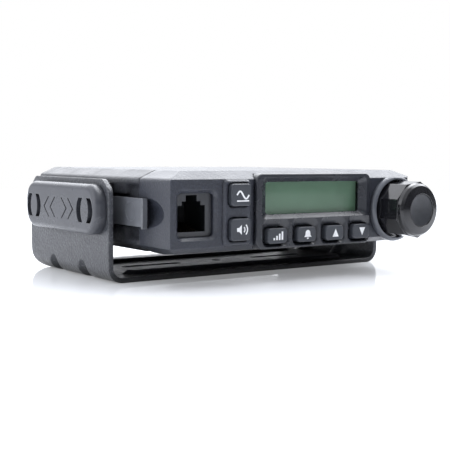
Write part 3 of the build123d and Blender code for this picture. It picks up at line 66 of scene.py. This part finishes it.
class Finish:
    """A Principled material that is built up layer by layer. Distances are in millimetres."""

    def __init__(self, name, colour, roughness, metallic=0.0, specular=0.5, coat=0.0):
        self.material = bpy.data.materials.new(name)
        self.material.use_nodes = True
        self.tree = self.material.node_tree
        self.shader = self.tree.nodes["Principled BSDF"]
        self.shader.inputs["Base Color"].default_value = (*colour, 1.0)
        self.shader.inputs["Roughness"].default_value = roughness
        self.shader.inputs["Metallic"].default_value = metallic
        self.shader.inputs["Specular IOR Level"].default_value = specular
        self.shader.inputs["Coat Weight"].default_value = coat
        self.place = self.node("ShaderNodeTexCoord").outputs["Object"]
        self.colour = None
        self.plain = colour
        self.normal = None
        self.edge = None

    def node(self, kind, **settings):
        made = self.tree.nodes.new(kind)
        for key, value in settings.items():
            setattr(made, key, value)
        return made

    def link(self, source, target):
        self.tree.links.new(source, target)

    def noise(self, size, detail=2.0, stretch=(1.0, 1.0, 1.0)):
        """Smooth noise with features of about that size. Its value is near 0.5."""
        place = self.place
        if stretch != (1.0, 1.0, 1.0):
            mapping = self.node("ShaderNodeMapping")
            mapping.inputs["Scale"].default_value = stretch
            self.link(place, mapping.inputs["Vector"])
            place = mapping.outputs["Vector"]
        texture = self.node("ShaderNodeTexNoise")
        texture.inputs["Scale"].default_value = 1.0 / (size * MM)
        texture.inputs["Detail"].default_value = detail
        self.link(place, texture.inputs["Vector"])
        return texture.outputs["Fac"]

    def cells(self, size, feature="F1"):
        """Distances between scattered cells of about that size."""
        texture = self.node("ShaderNodeTexVoronoi", feature=feature)
        texture.inputs["Scale"].default_value = 1.0 / (size * MM)
        self.link(self.place, texture.inputs["Vector"])
        return texture.outputs["Distance"]

    def spread(self, value, low, high, to_low=0.0, to_high=1.0):
        """The value stretched from one range to another, and held at its ends."""
        remap = self.node("ShaderNodeMapRange")
        for socket_name, number in zip(RANGE_SOCKETS, (low, high, to_low, to_high)):
            remap.inputs[socket_name].default_value = number
        self.link(value, remap.inputs["Value"])
        return remap.outputs["Result"]

    def tint(self, amount, colour):
        """Mixes another colour in by that amount, which varies over the surface."""
        mix = self.node("ShaderNodeMix", data_type="RGBA")
        self.link(amount, mix.inputs["Factor"])
        if self.colour is None:
            mix.inputs["A"].default_value = (*self.plain, 1.0)
        else:
            self.link(self.colour, mix.inputs["A"])
        mix.inputs["B"].default_value = (*colour, 1.0)
        self.colour = mix.outputs["Result"]
        self.link(self.colour, self.shader.inputs["Base Color"])
        return self

    def shade(self, factor):
        """The plain colour made lighter or darker."""
        return tuple(min(1.0, c * factor) for c in self.plain)

    def mottle(self, size, lighter=1.25, darker=0.8):
        """Slow drifts of tone, as in any moulded or painted surface."""
        drift = self.noise(size, detail=3.0)
        self.tint(self.spread(drift, 0.5, 0.72, 0.0, 0.6), self.shade(lighter))
        self.tint(self.spread(drift, 0.5, 0.28, 0.0, 0.6), self.shade(darker))
        return self

    def speckle(self, size, colour, share=0.5, rarity=0.62):
        """Small spots of another colour."""
        spots = self.noise(size, detail=1.0)
        return self.tint(self.spread(spots, rarity, rarity + 0.06, 0.0, share), colour)

    def rounded(self, radius, samples=4):
        """Softens the sharp edges of the solid, as mould radii do."""
        self.edge = self.node("ShaderNodeBevel", samples=samples)
        self.edge.inputs["Radius"].default_value = radius * MM
        self.normal = self.edge.outputs["Normal"]
        self.link(self.normal, self.shader.inputs["Normal"])
        return self

    def bump(self, height, depth):
        """Raises the surface where height is 1, by depth."""
        bump = self.node("ShaderNodeBump")
        bump.inputs["Distance"].default_value = depth * MM
        bump.inputs["Strength"].default_value = 1.0
        self.link(height, bump.inputs["Height"])
        if self.normal is not None:
            self.link(self.normal, bump.inputs["Normal"])
        self.normal = bump.outputs["Normal"]
        self.link(self.normal, self.shader.inputs["Normal"])
        return self

    def worn_edges_and_highlight(self, colour, share=0.5):
        """Rubs another colour through along the edges, in patches: partly wear and partly painted
        highlight. It needs rounded() first.
        """
        turn = self.node("ShaderNodeVectorMath", operation="DOT_PRODUCT")
        self.link(self.edge.outputs["Normal"], turn.inputs[0])
        self.link(self.node("ShaderNodeNewGeometry").outputs["Normal"], turn.inputs[1])
        edge = self.spread(turn.outputs["Value"], 0.995, 0.93)
        patch = self.spread(self.noise(1.6, detail=4.0), 0.42, 0.62, 0.0, share)
        both = self.node("ShaderNodeMath", operation="MULTIPLY")
        self.link(edge, both.inputs[0])
        self.link(patch, both.inputs[1])
        return self.tint(both.outputs["Value"], colour)

    def painted_crease_shade(self, colour, distance, share=0.9):
        """Paints shade into narrow slots and engraved lines: darkens and dulls them where ambient
        occlusion finds them sheltered.
        """
        crease_occlusion = self.node("ShaderNodeAmbientOcclusion", samples=8)
        crease_occlusion.inputs["Distance"].default_value = distance * MM
        shine = self.shader.inputs["Specular IOR Level"].default_value
        dull = self.spread(crease_occlusion.outputs["AO"], 0.7, 0.3, shine, shine * (1 - share))
        self.link(dull, self.shader.inputs["Specular IOR Level"])
        return self.tint(self.spread(crease_occlusion.outputs["AO"], 0.8, 0.3, 0.0, share), colour)

    def uneven(self, size, low, high, detail=3.0):
        """Lets roughness drift between two values."""
        drift = self.spread(self.noise(size, detail=detail), 0.3, 0.7, low, high)
        self.link(drift, self.shader.inputs["Roughness"])
        return self

    def dress(self, *names):
        """Puts this finish on CAD nodes or made pieces."""
        for name in names:
            piece = nodes[name] if isinstance(name, str) else name
            for slot in piece.material_slots:
                slot.material = self.material
            if not piece.material_slots:
                piece.data.materials.append(self.material)
        return self


def moulded(name, colour, roughness, grain=0.25, depth=0.012, radius=0.22, wear_and_highlight=0.25):
    """Moulded plastic: a fine spark grain, slow drifts of tone and rubbed edges, partly wear and
    partly painted highlight.
    """
    made = Finish(name, colour, roughness)
    made.mottle(9.0, lighter=1.18, darker=0.86)
    made.rounded(radius)
    made.worn_edges_and_highlight(made.shade(2.2), wear_and_highlight)
    made.bump(made.noise(grain, detail=2.0), depth)
    made.uneven(6.0, roughness - 0.05, roughness + 0.06)
    return made


def metal(name, colour, roughness, brush=(1.0, 1.0, 1.0)):
    """Bare or plated metal with fine handling marks. brush stretches them into strokes."""
    made = Finish(name, colour, roughness, metallic=1.0)
    made.mottle(5.0, lighter=1.1, darker=0.82)
    made.rounded(0.12)
    made.bump(made.noise(0.3, detail=3.0, stretch=brush), 0.004)
    made.uneven(2.5, roughness - 0.06, roughness + 0.12)
    return made


# ---- Finishes ----------------------------------------------------------------------------

BLACK = (0.002, 0.002, 0.003)
# Painted shadow: the bracket's colour darkens where its edge meets the surface it stands on.
CONTACT_SHADOW_TOP, CONTACT_SHADOW_LOW = 4.0 * MM, 1.5 * MM

# Powder coat: a fine pebbled skin with small pale flecks.
powder = Finish("bracket_powder_coat", (0.052, 0.055, 0.063), 0.34)
powder.mottle(12.0, lighter=1.2, darker=0.85)
powder.speckle(0.5, (0.20, 0.21, 0.23), share=0.35, rarity=0.60)
powder.speckle(0.7, (0.015, 0.015, 0.017), share=0.6, rarity=0.62)
powder.rounded(0.9)
powder.worn_edges_and_highlight((0.22, 0.22, 0.23), 0.45)
powder.bump(powder.noise(0.85, detail=3.0), 0.26)
# Painted shadow: the colour darkens from 4 mm height down to 1.5 mm.
height = powder.node("ShaderNodeSeparateXYZ")
powder.link(powder.place, height.inputs["Vector"])
powder.tint(powder.spread(height.outputs["Z"], CONTACT_SHADOW_TOP, CONTACT_SHADOW_LOW), powder.shade(0.2))
powder.uneven(3.0, 0.28, 0.4)
powder.dress("mounting_bracket")

cover = moulded(
    "rail_cover_plastic", (0.053, 0.056, 0.066), 0.29, grain=0.22, depth=0.014, radius=0.3
)
cover.bump(cover.noise(0.5, detail=2.0), 0.05)
# Painted shade darkens its slots.
cover.painted_crease_shade(BLACK, 2.5)
cover.dress("rail_cover_left", "rail_cover_right")

moulded("guide_rail_plastic", (0.018, 0.019, 0.022), 0.42).dress(
    "guide_rail_left", "guide_rail_right"
)

latch = Finish("latch_black_steel", (0.115, 0.121, 0.135), 0.32, specular=0.8)
latch.mottle(4.0)
latch.rounded(0.12)
# Painted highlight and wear along the lever's edges.
latch.worn_edges_and_highlight((0.45, 0.46, 0.48), 0.9)
latch.bump(latch.noise(0.2, detail=2.0), 0.008)
latch.uneven(2.0, 0.32, 0.46)
latch.dress("latch_lever_left", "latch_lever_right")

case = moulded(
    "case_satin_paint", (0.030, 0.032, 0.038), 0.38,
    grain=0.7, depth=0.14, radius=1.6, wear_and_highlight=0.1,
)
case.speckle(0.45, case.shade(2.6), share=0.3, rarity=0.56)
# Painted shade darkens its seams and grooves.
case.painted_crease_shade(BLACK, 3.0, share=0.6)
case.dress("rear_case", "bottom_cover")

# Its rubbed edges are partly wear and partly painted highlight.
panel = moulded(
    "panel_satin_plastic", (0.025, 0.028, 0.038), 0.33,
    grain=0.62, depth=0.12, radius=0.6, wear_and_highlight=0.6,
)
panel.speckle(0.45, panel.shade(2.6), share=0.25, rarity=0.56)
# Painted shade darkens its grooves, slots and the hollows round the latch.
panel.painted_crease_shade(BLACK, 2.2, share=0.7)
panel.dress("front_panel")

bezel = moulded(
    "frame_satin_plastic", (0.020, 0.022, 0.028), 0.25,
    grain=0.35, depth=0.025, radius=0.35, wear_and_highlight=0.4,
)
# Painted shade darkens its grooves and recesses.
bezel.painted_crease_shade(BLACK, 1.6, share=0.8)
bezel.dress("display_frame")

collar = moulded(
    "collar_satin_plastic", (0.090, 0.096, 0.112), 0.22,
    grain=0.4, depth=0.04, radius=0.3, wear_and_highlight=0.6,
)
collar.dress("knob_collar")

keys = moulded(
    "key_matte_plastic", (0.036, 0.040, 0.049), 0.42,
    grain=0.35, depth=0.04, radius=0.35, wear_and_highlight=0.5,
)
keys.dress("mode_key", "squelch_key", "gain_key", "alert_key", "up_key", "down_key")

sink = Finish("sink_black_anodised", (0.022, 0.023, 0.026), 0.42, metallic=0.3)
sink.mottle(7.0)
sink.rounded(0.2)
sink.worn_edges_and_highlight((0.4, 0.4, 0.41), 0.4)
sink.bump(sink.noise(0.35, detail=3.0), 0.02)
sink.dress("heat_sink")

knob = Finish("knob_polished_black", (0.008, 0.008, 0.010), 0.16, coat=0.15)
knob.shader.inputs["Coat Roughness"].default_value = 0.08
knob.mottle(3.0, lighter=1.5, darker=0.7)
knob.rounded(0.25, samples=6)
knob.worn_edges_and_highlight((0.08, 0.08, 0.085), 0.4)
knob.bump(knob.noise(0.9, detail=4.0), 0.004)
knob.uneven(4.0, 0.09, 0.19, detail=5.0)
knob.dress("volume_knob")

# The cap is turned: fine rings round its middle.
RING_PITCH = 0.16 * MM
cap = Finish("knob_cap_turned", (0.024, 0.026, 0.031), 0.32)
cap.mottle(3.0)
cap_low, cap_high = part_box("knob_cap")
reach = cap.node("ShaderNodeVectorMath", operation="DISTANCE")
cap.link(cap.place, reach.inputs[0])
reach.inputs[1].default_value = (cap_low + cap_high) / 2
rings = cap.node("ShaderNodeMath", operation="SINE")
turns = cap.node("ShaderNodeMath", operation="MULTIPLY")
turns.inputs[1].default_value = 2 * math.pi / RING_PITCH
cap.link(reach.outputs["Value"], turns.inputs[0])
cap.link(turns.outputs["Value"], rings.inputs[0])
cap.rounded(0.25)
# Painted highlight and wear: a pale ring along the cap's edges.
cap.worn_edges_and_highlight((0.26, 0.25, 0.23), 0.9)
cap.bump(cap.spread(rings.outputs["Value"], -1.0, 1.0), 0.004)
cap.uneven(1.5, 0.34, 0.46)
cap.dress("knob_cap")

socket = moulded("socket_plastic", (0.012, 0.012, 0.014), 0.4, grain=0.2, depth=0.01, radius=0.12)
socket.dress("power_socket", "sound_socket")

# Painted shade: the microphone socket is grey at its mouth, and its colour darkens to nearly
# black further in, where shade falls inside it.
SOCKET_SHADE_START, SOCKET_SHADE_FULL = 0.1 * MM, 0.7 * MM
mouth = moulded(
    "mic_socket_plastic", (0.045, 0.047, 0.052), 0.36, grain=0.2, depth=0.01, radius=0.12
)
mouth_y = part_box("mic_socket")[0].y
inward = mouth.node("ShaderNodeSeparateXYZ")
mouth.link(mouth.place, inward.inputs["Vector"])
socket_painted_shade = mouth.spread(inward.outputs["Y"], mouth_y + SOCKET_SHADE_START, mouth_y + SOCKET_SHADE_FULL)
mouth.tint(socket_painted_shade, (0.004, 0.005, 0.006))
mouth.dress("mic_socket")

parts_black = moulded(
    "part_black_plastic", (0.02, 0.02, 0.021), 0.5, grain=0.15, depth=0.01, radius=0.1
)
parts_black.dress(
    "tact_switches", "board_header", "control_chips", "power_transistors", "antenna_relay"
)

screws = Finish("screw_black_oxide", (0.05, 0.05, 0.052), 0.38, metallic=0.8)
screws.mottle(1.5, lighter=1.5, darker=0.7)
screws.rounded(0.08)
screws.worn_edges_and_highlight((0.5, 0.5, 0.5), 0.6)
screws.bump(screws.noise(0.15, detail=3.0), 0.005)
screws.dress("rail_screws", "bottom_cover_screws", "front_panel_screws", "heat_sink_screws")

metal("zinc_plate", (0.62, 0.62, 0.58), 0.32).dress(
    "front_board_screws", "main_board_screws", "pot_nut"
)
metal("turned_steel", (0.58, 0.58, 0.59), 0.25, brush=(1.0, 8.0, 1.0)).dress(
    "latch_pins", "pot_shaft"
)
metal("nickel_plate", (0.72, 0.70, 0.66), 0.2).dress(
    "antenna_socket", "antenna_nut", "sound_socket_nut"
)
metal("tin_plate", (0.66, 0.66, 0.65), 0.3, brush=(0.2, 1.0, 1.0)).dress(
    "shield_can", "tuning_coils", "crystals", "speaker_frame", "volume_pot"
)
metal("gold_flash", (0.86, 0.62, 0.26), 0.22).dress("antenna_contact", "power_pins")
metal("spring_bronze", (0.10, 0.08, 0.05), 0.35).dress("mic_contacts")

# Circuit board: solder mask over tracks, with tinned pads.
board = Finish("board_laminate", (0.012, 0.085, 0.04), 0.3, coat=0.3)
board.mottle(6.0)
tracks = board.spread(board.cells(1.8, feature="DISTANCE_TO_EDGE"), 0.05, 0.09, 1.0, 0.0)
board.tint(tracks, (0.03, 0.17, 0.08))
board.tint(board.spread(board.cells(1.3), 0.2, 0.16), (0.6, 0.6, 0.55))
board.bump(tracks, 0.03)
board.dress("front_board", "main_board", "mic_board")

sleeve = Finish("capacitor_sleeve", (0.012, 0.02, 0.07), 0.25, coat=0.3)
sleeve.mottle(4.0)
sleeve.rounded(0.15)
sleeve.bump(sleeve.noise(1.2), 0.02)
sleeve.dress("capacitors")

ferrite = Finish("sintered_ferrite", (0.05, 0.05, 0.055), 0.55)
ferrite.mottle(3.0)
ferrite.speckle(0.2, (0.2, 0.2, 0.2), share=0.4)
ferrite.bump(ferrite.noise(0.2, detail=4.0), 0.03)
ferrite.dress("filter_coils", "speaker_magnet")

paper = Finish("cone_paper", (0.05, 0.05, 0.05), 0.85)
paper.mottle(2.0)
paper.speckle(0.3, (0.14, 0.13, 0.12), share=0.4, rarity=0.6)
paper.bump(paper.noise(0.25, detail=5.0, stretch=(1.0, 0.4, 1.0)), 0.06)
paper.dress("speaker_cone")

insulator = Finish("white_insulator", (0.85, 0.85, 0.81), 0.4)
insulator.mottle(3.0, lighter=1.05, darker=0.9)
insulator.bump(insulator.noise(0.4), 0.01)
insulator.dress("antenna_insulator")

guide = Finish("milky_light_guide", (0.82, 0.86, 0.82), 0.35)
guide.mottle(5.0, lighter=1.05, darker=0.92)
guide.bump(guide.noise(0.5), 0.01)
guide.dress("backlight_guide")

# The display's grey-green reflector has a very fine pitted texture.
lcd = Finish("lcd_reflector", (0.100, 0.172, 0.122), 0.5, specular=0.3)
# Painted light: the reflector also glows faintly, which lifts the shade the frame casts on it.
lcd.shader.inputs["Emission Color"].default_value = (0.044, 0.070, 0.052, 1.0)
lcd.shader.inputs["Emission Strength"].default_value = 0.5
lcd.mottle(14.0, lighter=1.1, darker=0.92)
lcd.speckle(0.18, (0.11, 0.19, 0.13), share=0.5, rarity=0.55)
lcd.bump(lcd.noise(0.14, detail=1.0), 0.006)
lcd.dress("lcd_module")


def clear_window():
    """A clear sheet: it lets light straight through and mirrors some at its surface."""
    made = bpy.data.materials.new("lens_clear")
    made.use_nodes = True
    tree = made.node_tree
    tree.nodes.clear()
    out = tree.nodes.new("ShaderNodeOutputMaterial")
    mix = tree.nodes.new("ShaderNodeMixShader")
    through = tree.nodes.new("ShaderNodeBsdfTransparent")
    through.inputs["Color"].default_value = (0.95, 0.97, 0.95, 1.0)
    mirror = tree.nodes.new("ShaderNodeBsdfGlossy")
    mirror.inputs["Roughness"].default_value = 0.04
    # The mirrored share is small face on and large at a slant, the same from both sides.
    slant = tree.nodes.new("ShaderNodeLayerWeight")
    slant.inputs["Blend"].default_value = 0.5
    steep = tree.nodes.new("ShaderNodeMath")
    steep.operation = "POWER"
    steep.inputs[1].default_value = 5.0
    gloss = tree.nodes.new("ShaderNodeMapRange")
    gloss.inputs["To Min"].default_value = 0.03
    place = tree.nodes.new("ShaderNodeTexCoord")
    ripple = tree.nodes.new("ShaderNodeTexNoise")
    ripple.inputs["Scale"].default_value = 1.0 / (6.0 * MM)
    bump = tree.nodes.new("ShaderNodeBump")
    bump.inputs["Distance"].default_value = 0.003 * MM
    tree.links.new(place.outputs["Object"], ripple.inputs["Vector"])
    tree.links.new(ripple.outputs["Fac"], bump.inputs["Height"])
    tree.links.new(bump.outputs["Normal"], mirror.inputs["Normal"])
    tree.links.new(slant.outputs["Facing"], steep.inputs[0])
    tree.links.new(steep.outputs["Value"], gloss.inputs["Value"])
    tree.links.new(gloss.outputs["Result"], mix.inputs["Fac"])
    tree.links.new(through.outputs["BSDF"], mix.inputs[1])
    tree.links.new(mirror.outputs["BSDF"], mix.inputs[2])
    tree.links.new(mix.outputs["Shader"], out.inputs["Surface"])
    return made


for window_slot in nodes["display_lens"].material_slots:
    window_slot.material = clear_window()


# ---- Printed symbols on the keys ----------------------------------------------------------

ink = Finish("key_print_white", (0.78, 0.79, 0.80), 0.5)
ink.mottle(1.2, lighter=1.1, darker=0.85)
ink.speckle(0.12, (0.5, 0.5, 0.52), share=0.4, rarity=0.6)
ink.bump(ink.noise(0.12), 0.004)

PRINT_T = 0.03 * MM
ARC_POINTS = 14


def printed(name, key, shapes):
    """Flat printed shapes on a key's front.

    Each shape is a list of (x, z) corners in millimetres from the middle of the key.
    """
    low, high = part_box(key)
    middle_x, middle_z = (low.x + high.x) / 2, (low.z + high.z) / 2
    mesh = bmesh.new()
    for corners in shapes:
        front = [
            mesh.verts.new((middle_x + x * MM, low.y - PRINT_T, middle_z + z * MM))
            for x, z in corners
        ]
        back = [mesh.verts.new((v.co.x, low.y + PRINT_T, v.co.z)) for v in front]
        mesh.faces.new(front)
        mesh.faces.new(list(reversed(back)))
        count = len(front)
        for i in range(count):
            mesh.faces.new((front[i], front[(i + 1) % count], back[(i + 1) % count], back[i]))
    bmesh.ops.recalc_face_normals(mesh, faces=mesh.faces)
    data = bpy.data.meshes.new(name)
    mesh.to_mesh(data)
    mesh.free()
    piece = bpy.data.objects.new(name, data)
    bpy.context.scene.collection.objects.link(piece)
    ink.dress(piece)
    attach(piece, key)


def bar(x0, x1, z0, z1):
    """A rectangle."""
    return [(x0, z0), (x1, z0), (x1, z1), (x0, z1)]


def band(points, width):
    """A stroke of that width along a line of points."""
    left, right = [], []
    for i, (x, z) in enumerate(points):
        x0, z0 = points[max(i - 1, 0)]
        x1, z1 = points[min(i + 1, len(points) - 1)]
        length = math.hypot(x1 - x0, z1 - z0)
        across = (-(z1 - z0) / length * width / 2, (x1 - x0) / length * width / 2)
        left.append((x + across[0], z + across[1]))
        right.append((x - across[0], z - across[1]))
    return left + right[::-1]


def arc(x, z, radius, start, end):
    """Points along an arc, from one angle to another in degrees."""
    points = []
    for i in range(ARC_POINTS):
        turn = math.radians(start + (end - start) * i / (ARC_POINTS - 1))
        points.append((x + radius * math.cos(turn), z + radius * math.sin(turn)))
    return points


# A wave over a line: the mode key.
WAVE_STEPS = 24
wave = [
    (-1.8 + 4.6 * i / WAVE_STEPS, 1.15 * math.sin(math.pi * 2 * i / WAVE_STEPS))
    for i in range(WAVE_STEPS + 1)
]
printed("mode_symbol", "mode_key", [band(wave, 0.55), bar(-1.8, 2.8, -2.0, -1.6)])
# A loudspeaker with sound arcs: squelch.
printed("squelch_symbol", "squelch_key", [
    [(-1.7, -0.6), (-0.9, -0.6), (0.1, -1.5), (0.1, 1.5), (-0.9, 0.6), (-1.7, 0.6)],
    band(arc(0.2, 0.0, 1.1, -45, 45), 0.42),
    band(arc(0.2, 0.0, 2.1, -45, 45), 0.42),
])
# Rising bars: gain.
printed("gain_symbol", "gain_key", [
    bar(-1.8 + 1.1 * i, -1.15 + 1.1 * i, -1.3, -0.6 + 0.65 * i) for i in range(4)
])
# A bell: alert.
printed("alert_symbol", "alert_key", [
    [(-1.3, -0.85), (1.9, -0.85), (1.4, -0.3)] + arc(0.3, 0.4, 1.0, 0, 180) + [(-0.8, -0.3)],
    arc(0.3, -1.1, 0.42, 180, 360),
])
# Plain triangles: up and down.
printed("up_symbol", "up_key", [[(-1.05, -1.35), (1.65, -1.35), (0.3, 1.3)]])
printed("down_symbol", "down_key", [[(-1.05, 1.3), (0.3, -1.35), (1.65, 1.3)]])


# ---- Floor, light and camera ---------------------------------------------------------------

FLOOR_R = 0.75
FLOOR_GAP = 0.02 * MM
SHADE_R, LIGHT_R = 0.06, 0.14
floor_mesh = bpy.data.meshes.new("studio_floor")
rim = [
    (FLOOR_R * math.cos(math.radians(turn)), FLOOR_R * math.sin(math.radians(turn)), 0)
    for turn in range(0, 360, 5)
]
floor_mesh.from_pydata(rim, [], [list(range(len(rim)))])
floor = bpy.data.objects.new("studio_floor", floor_mesh)
floor.location.z = cad_box[0][2] - FLOOR_GAP
bpy.context.scene.collection.objects.link(floor)
# The floor is glossy and glows faintly, and a painted shadow makes it a little greyer in an oval
# under the object.
paper_white = Finish("studio_white", (0.80, 0.81, 0.84), 0.05)
away = paper_white.node("ShaderNodeVectorMath", operation="LENGTH")
oval = paper_white.node("ShaderNodeMapping")
oval.inputs["Scale"].default_value = (1.0, 1.5, 1.0)
paper_white.link(paper_white.place, oval.inputs["Vector"])
paper_white.link(oval.outputs["Vector"], away.inputs[0])
painted_floor_shadow = paper_white.spread(away.outputs["Value"], LIGHT_R, SHADE_R)
paper_white.tint(painted_floor_shadow, (0.74, 0.75, 0.77))
paper_white.shader.inputs["Emission Color"].default_value = (0.97, 0.98, 1.0, 1.0)
paper_white.shader.inputs["Emission Strength"].default_value = 0.2
paper_white.dress(floor)

scene = bpy.context.scene
scene.view_settings.view_transform = "Standard"

# The room: white behind the set and dim in front of it, with a bright ceiling and soft round
# light panels overhead, behind and at the left. The camera itself sees a plain white backdrop.
world = bpy.data.worlds.new("studio")
world.use_nodes = True
scene.world = world
room = world.node_tree
sky = room.nodes["Background"]
generated = room.nodes.new("ShaderNodeTexCoord").outputs["Generated"]
direction = room.nodes.new("ShaderNodeSeparateXYZ")
room.links.new(generated, direction.inputs["Vector"])


def ramp(value, start, end, low, high):
    """A smooth rise from low to high while value goes from start to end."""
    step = room.nodes.new("ShaderNodeMapRange")
    step.interpolation_type = "SMOOTHSTEP"
    for socket_name, number in zip(RANGE_SOCKETS, (start, end, low, high)):
        step.inputs[socket_name].default_value = number
    room.links.new(value, step.inputs["Value"])
    return step.outputs["Result"]


def total(first, second):
    """The sum of two values."""
    both = room.nodes.new("ShaderNodeMath")
    room.links.new(first, both.inputs[0])
    room.links.new(second, both.inputs[1])
    return both.outputs["Value"]


def panel_light(towards, inner, outer, brightness):
    """A soft round light panel in that direction.

    It fades out between the inner and the outer half-angle, in degrees.
    """
    near = room.nodes.new("ShaderNodeVectorMath")
    near.operation = "DOT_PRODUCT"
    room.links.new(generated, near.inputs[0])
    near.inputs[1].default_value = Vector(towards).normalized()
    rim_cos, core_cos = math.cos(math.radians(outer)), math.cos(math.radians(inner))
    return ramp(near.outputs["Value"], rim_cos, core_cos, 0.0, brightness)


walls = ramp(direction.outputs["Y"], -0.35, 0.45, 0.155, 1.0)
ceiling = ramp(direction.outputs["Z"], 0.25, 0.75, 0.0, 1.0)
overhead = panel_light((0.58, 0.12, 0.80), 14, 38, 5.4)
behind = panel_light((0.30, 0.80, 0.50), 12, 34, 2.2)
left = panel_light((-1.0, 0.05, 0.15), 12, 44, 1.9)
everything = total(total(walls, ceiling), total(total(overhead, behind), left))
sky.inputs["Color"].default_value = (0.935, 0.955, 1.0, 1.0)
room.links.new(everything, sky.inputs["Strength"])
backdrop = room.nodes.new("ShaderNodeBackground")
backdrop.inputs["Color"].default_value = (1.0, 1.0, 1.0, 1.0)
seen = room.nodes.new("ShaderNodeMixShader")
room.links.new(room.nodes.new("ShaderNodeLightPath").outputs["Is Camera Ray"], seen.inputs["Fac"])
room.links.new(sky.outputs["Background"], seen.inputs[1])
room.links.new(backdrop.outputs["Background"], seen.inputs[2])
room.links.new(seen.outputs["Shader"], room.nodes["World Output"].inputs["Surface"])

# The camera stands in front of the object, towards -X and a little above it.
CAMERA_PLACE = (-0.19032, -0.26728, 0.03968)
CAMERA_LENS, SENSOR_WIDTH = 71.05, 36.0
YAW, PITCH, ROLL = math.radians(36.01), math.radians(4.36), math.radians(0.46)
camera = bpy.data.objects.new("camera", bpy.data.cameras.new("camera"))
camera.data.sensor_width = SENSOR_WIDTH
camera.data.lens = CAMERA_LENS
camera.data.clip_start = 0.01
camera.matrix_world = (
    Matrix.Translation(CAMERA_PLACE)
    @ Matrix.Rotation(-YAW, 4, "Z")
    @ Matrix.Rotation(math.pi / 2 - PITCH, 4, "X")
    @ Matrix.Rotation(ROLL, 4, "Z")
)
scene.collection.objects.link(camera)
scene.camera = camera
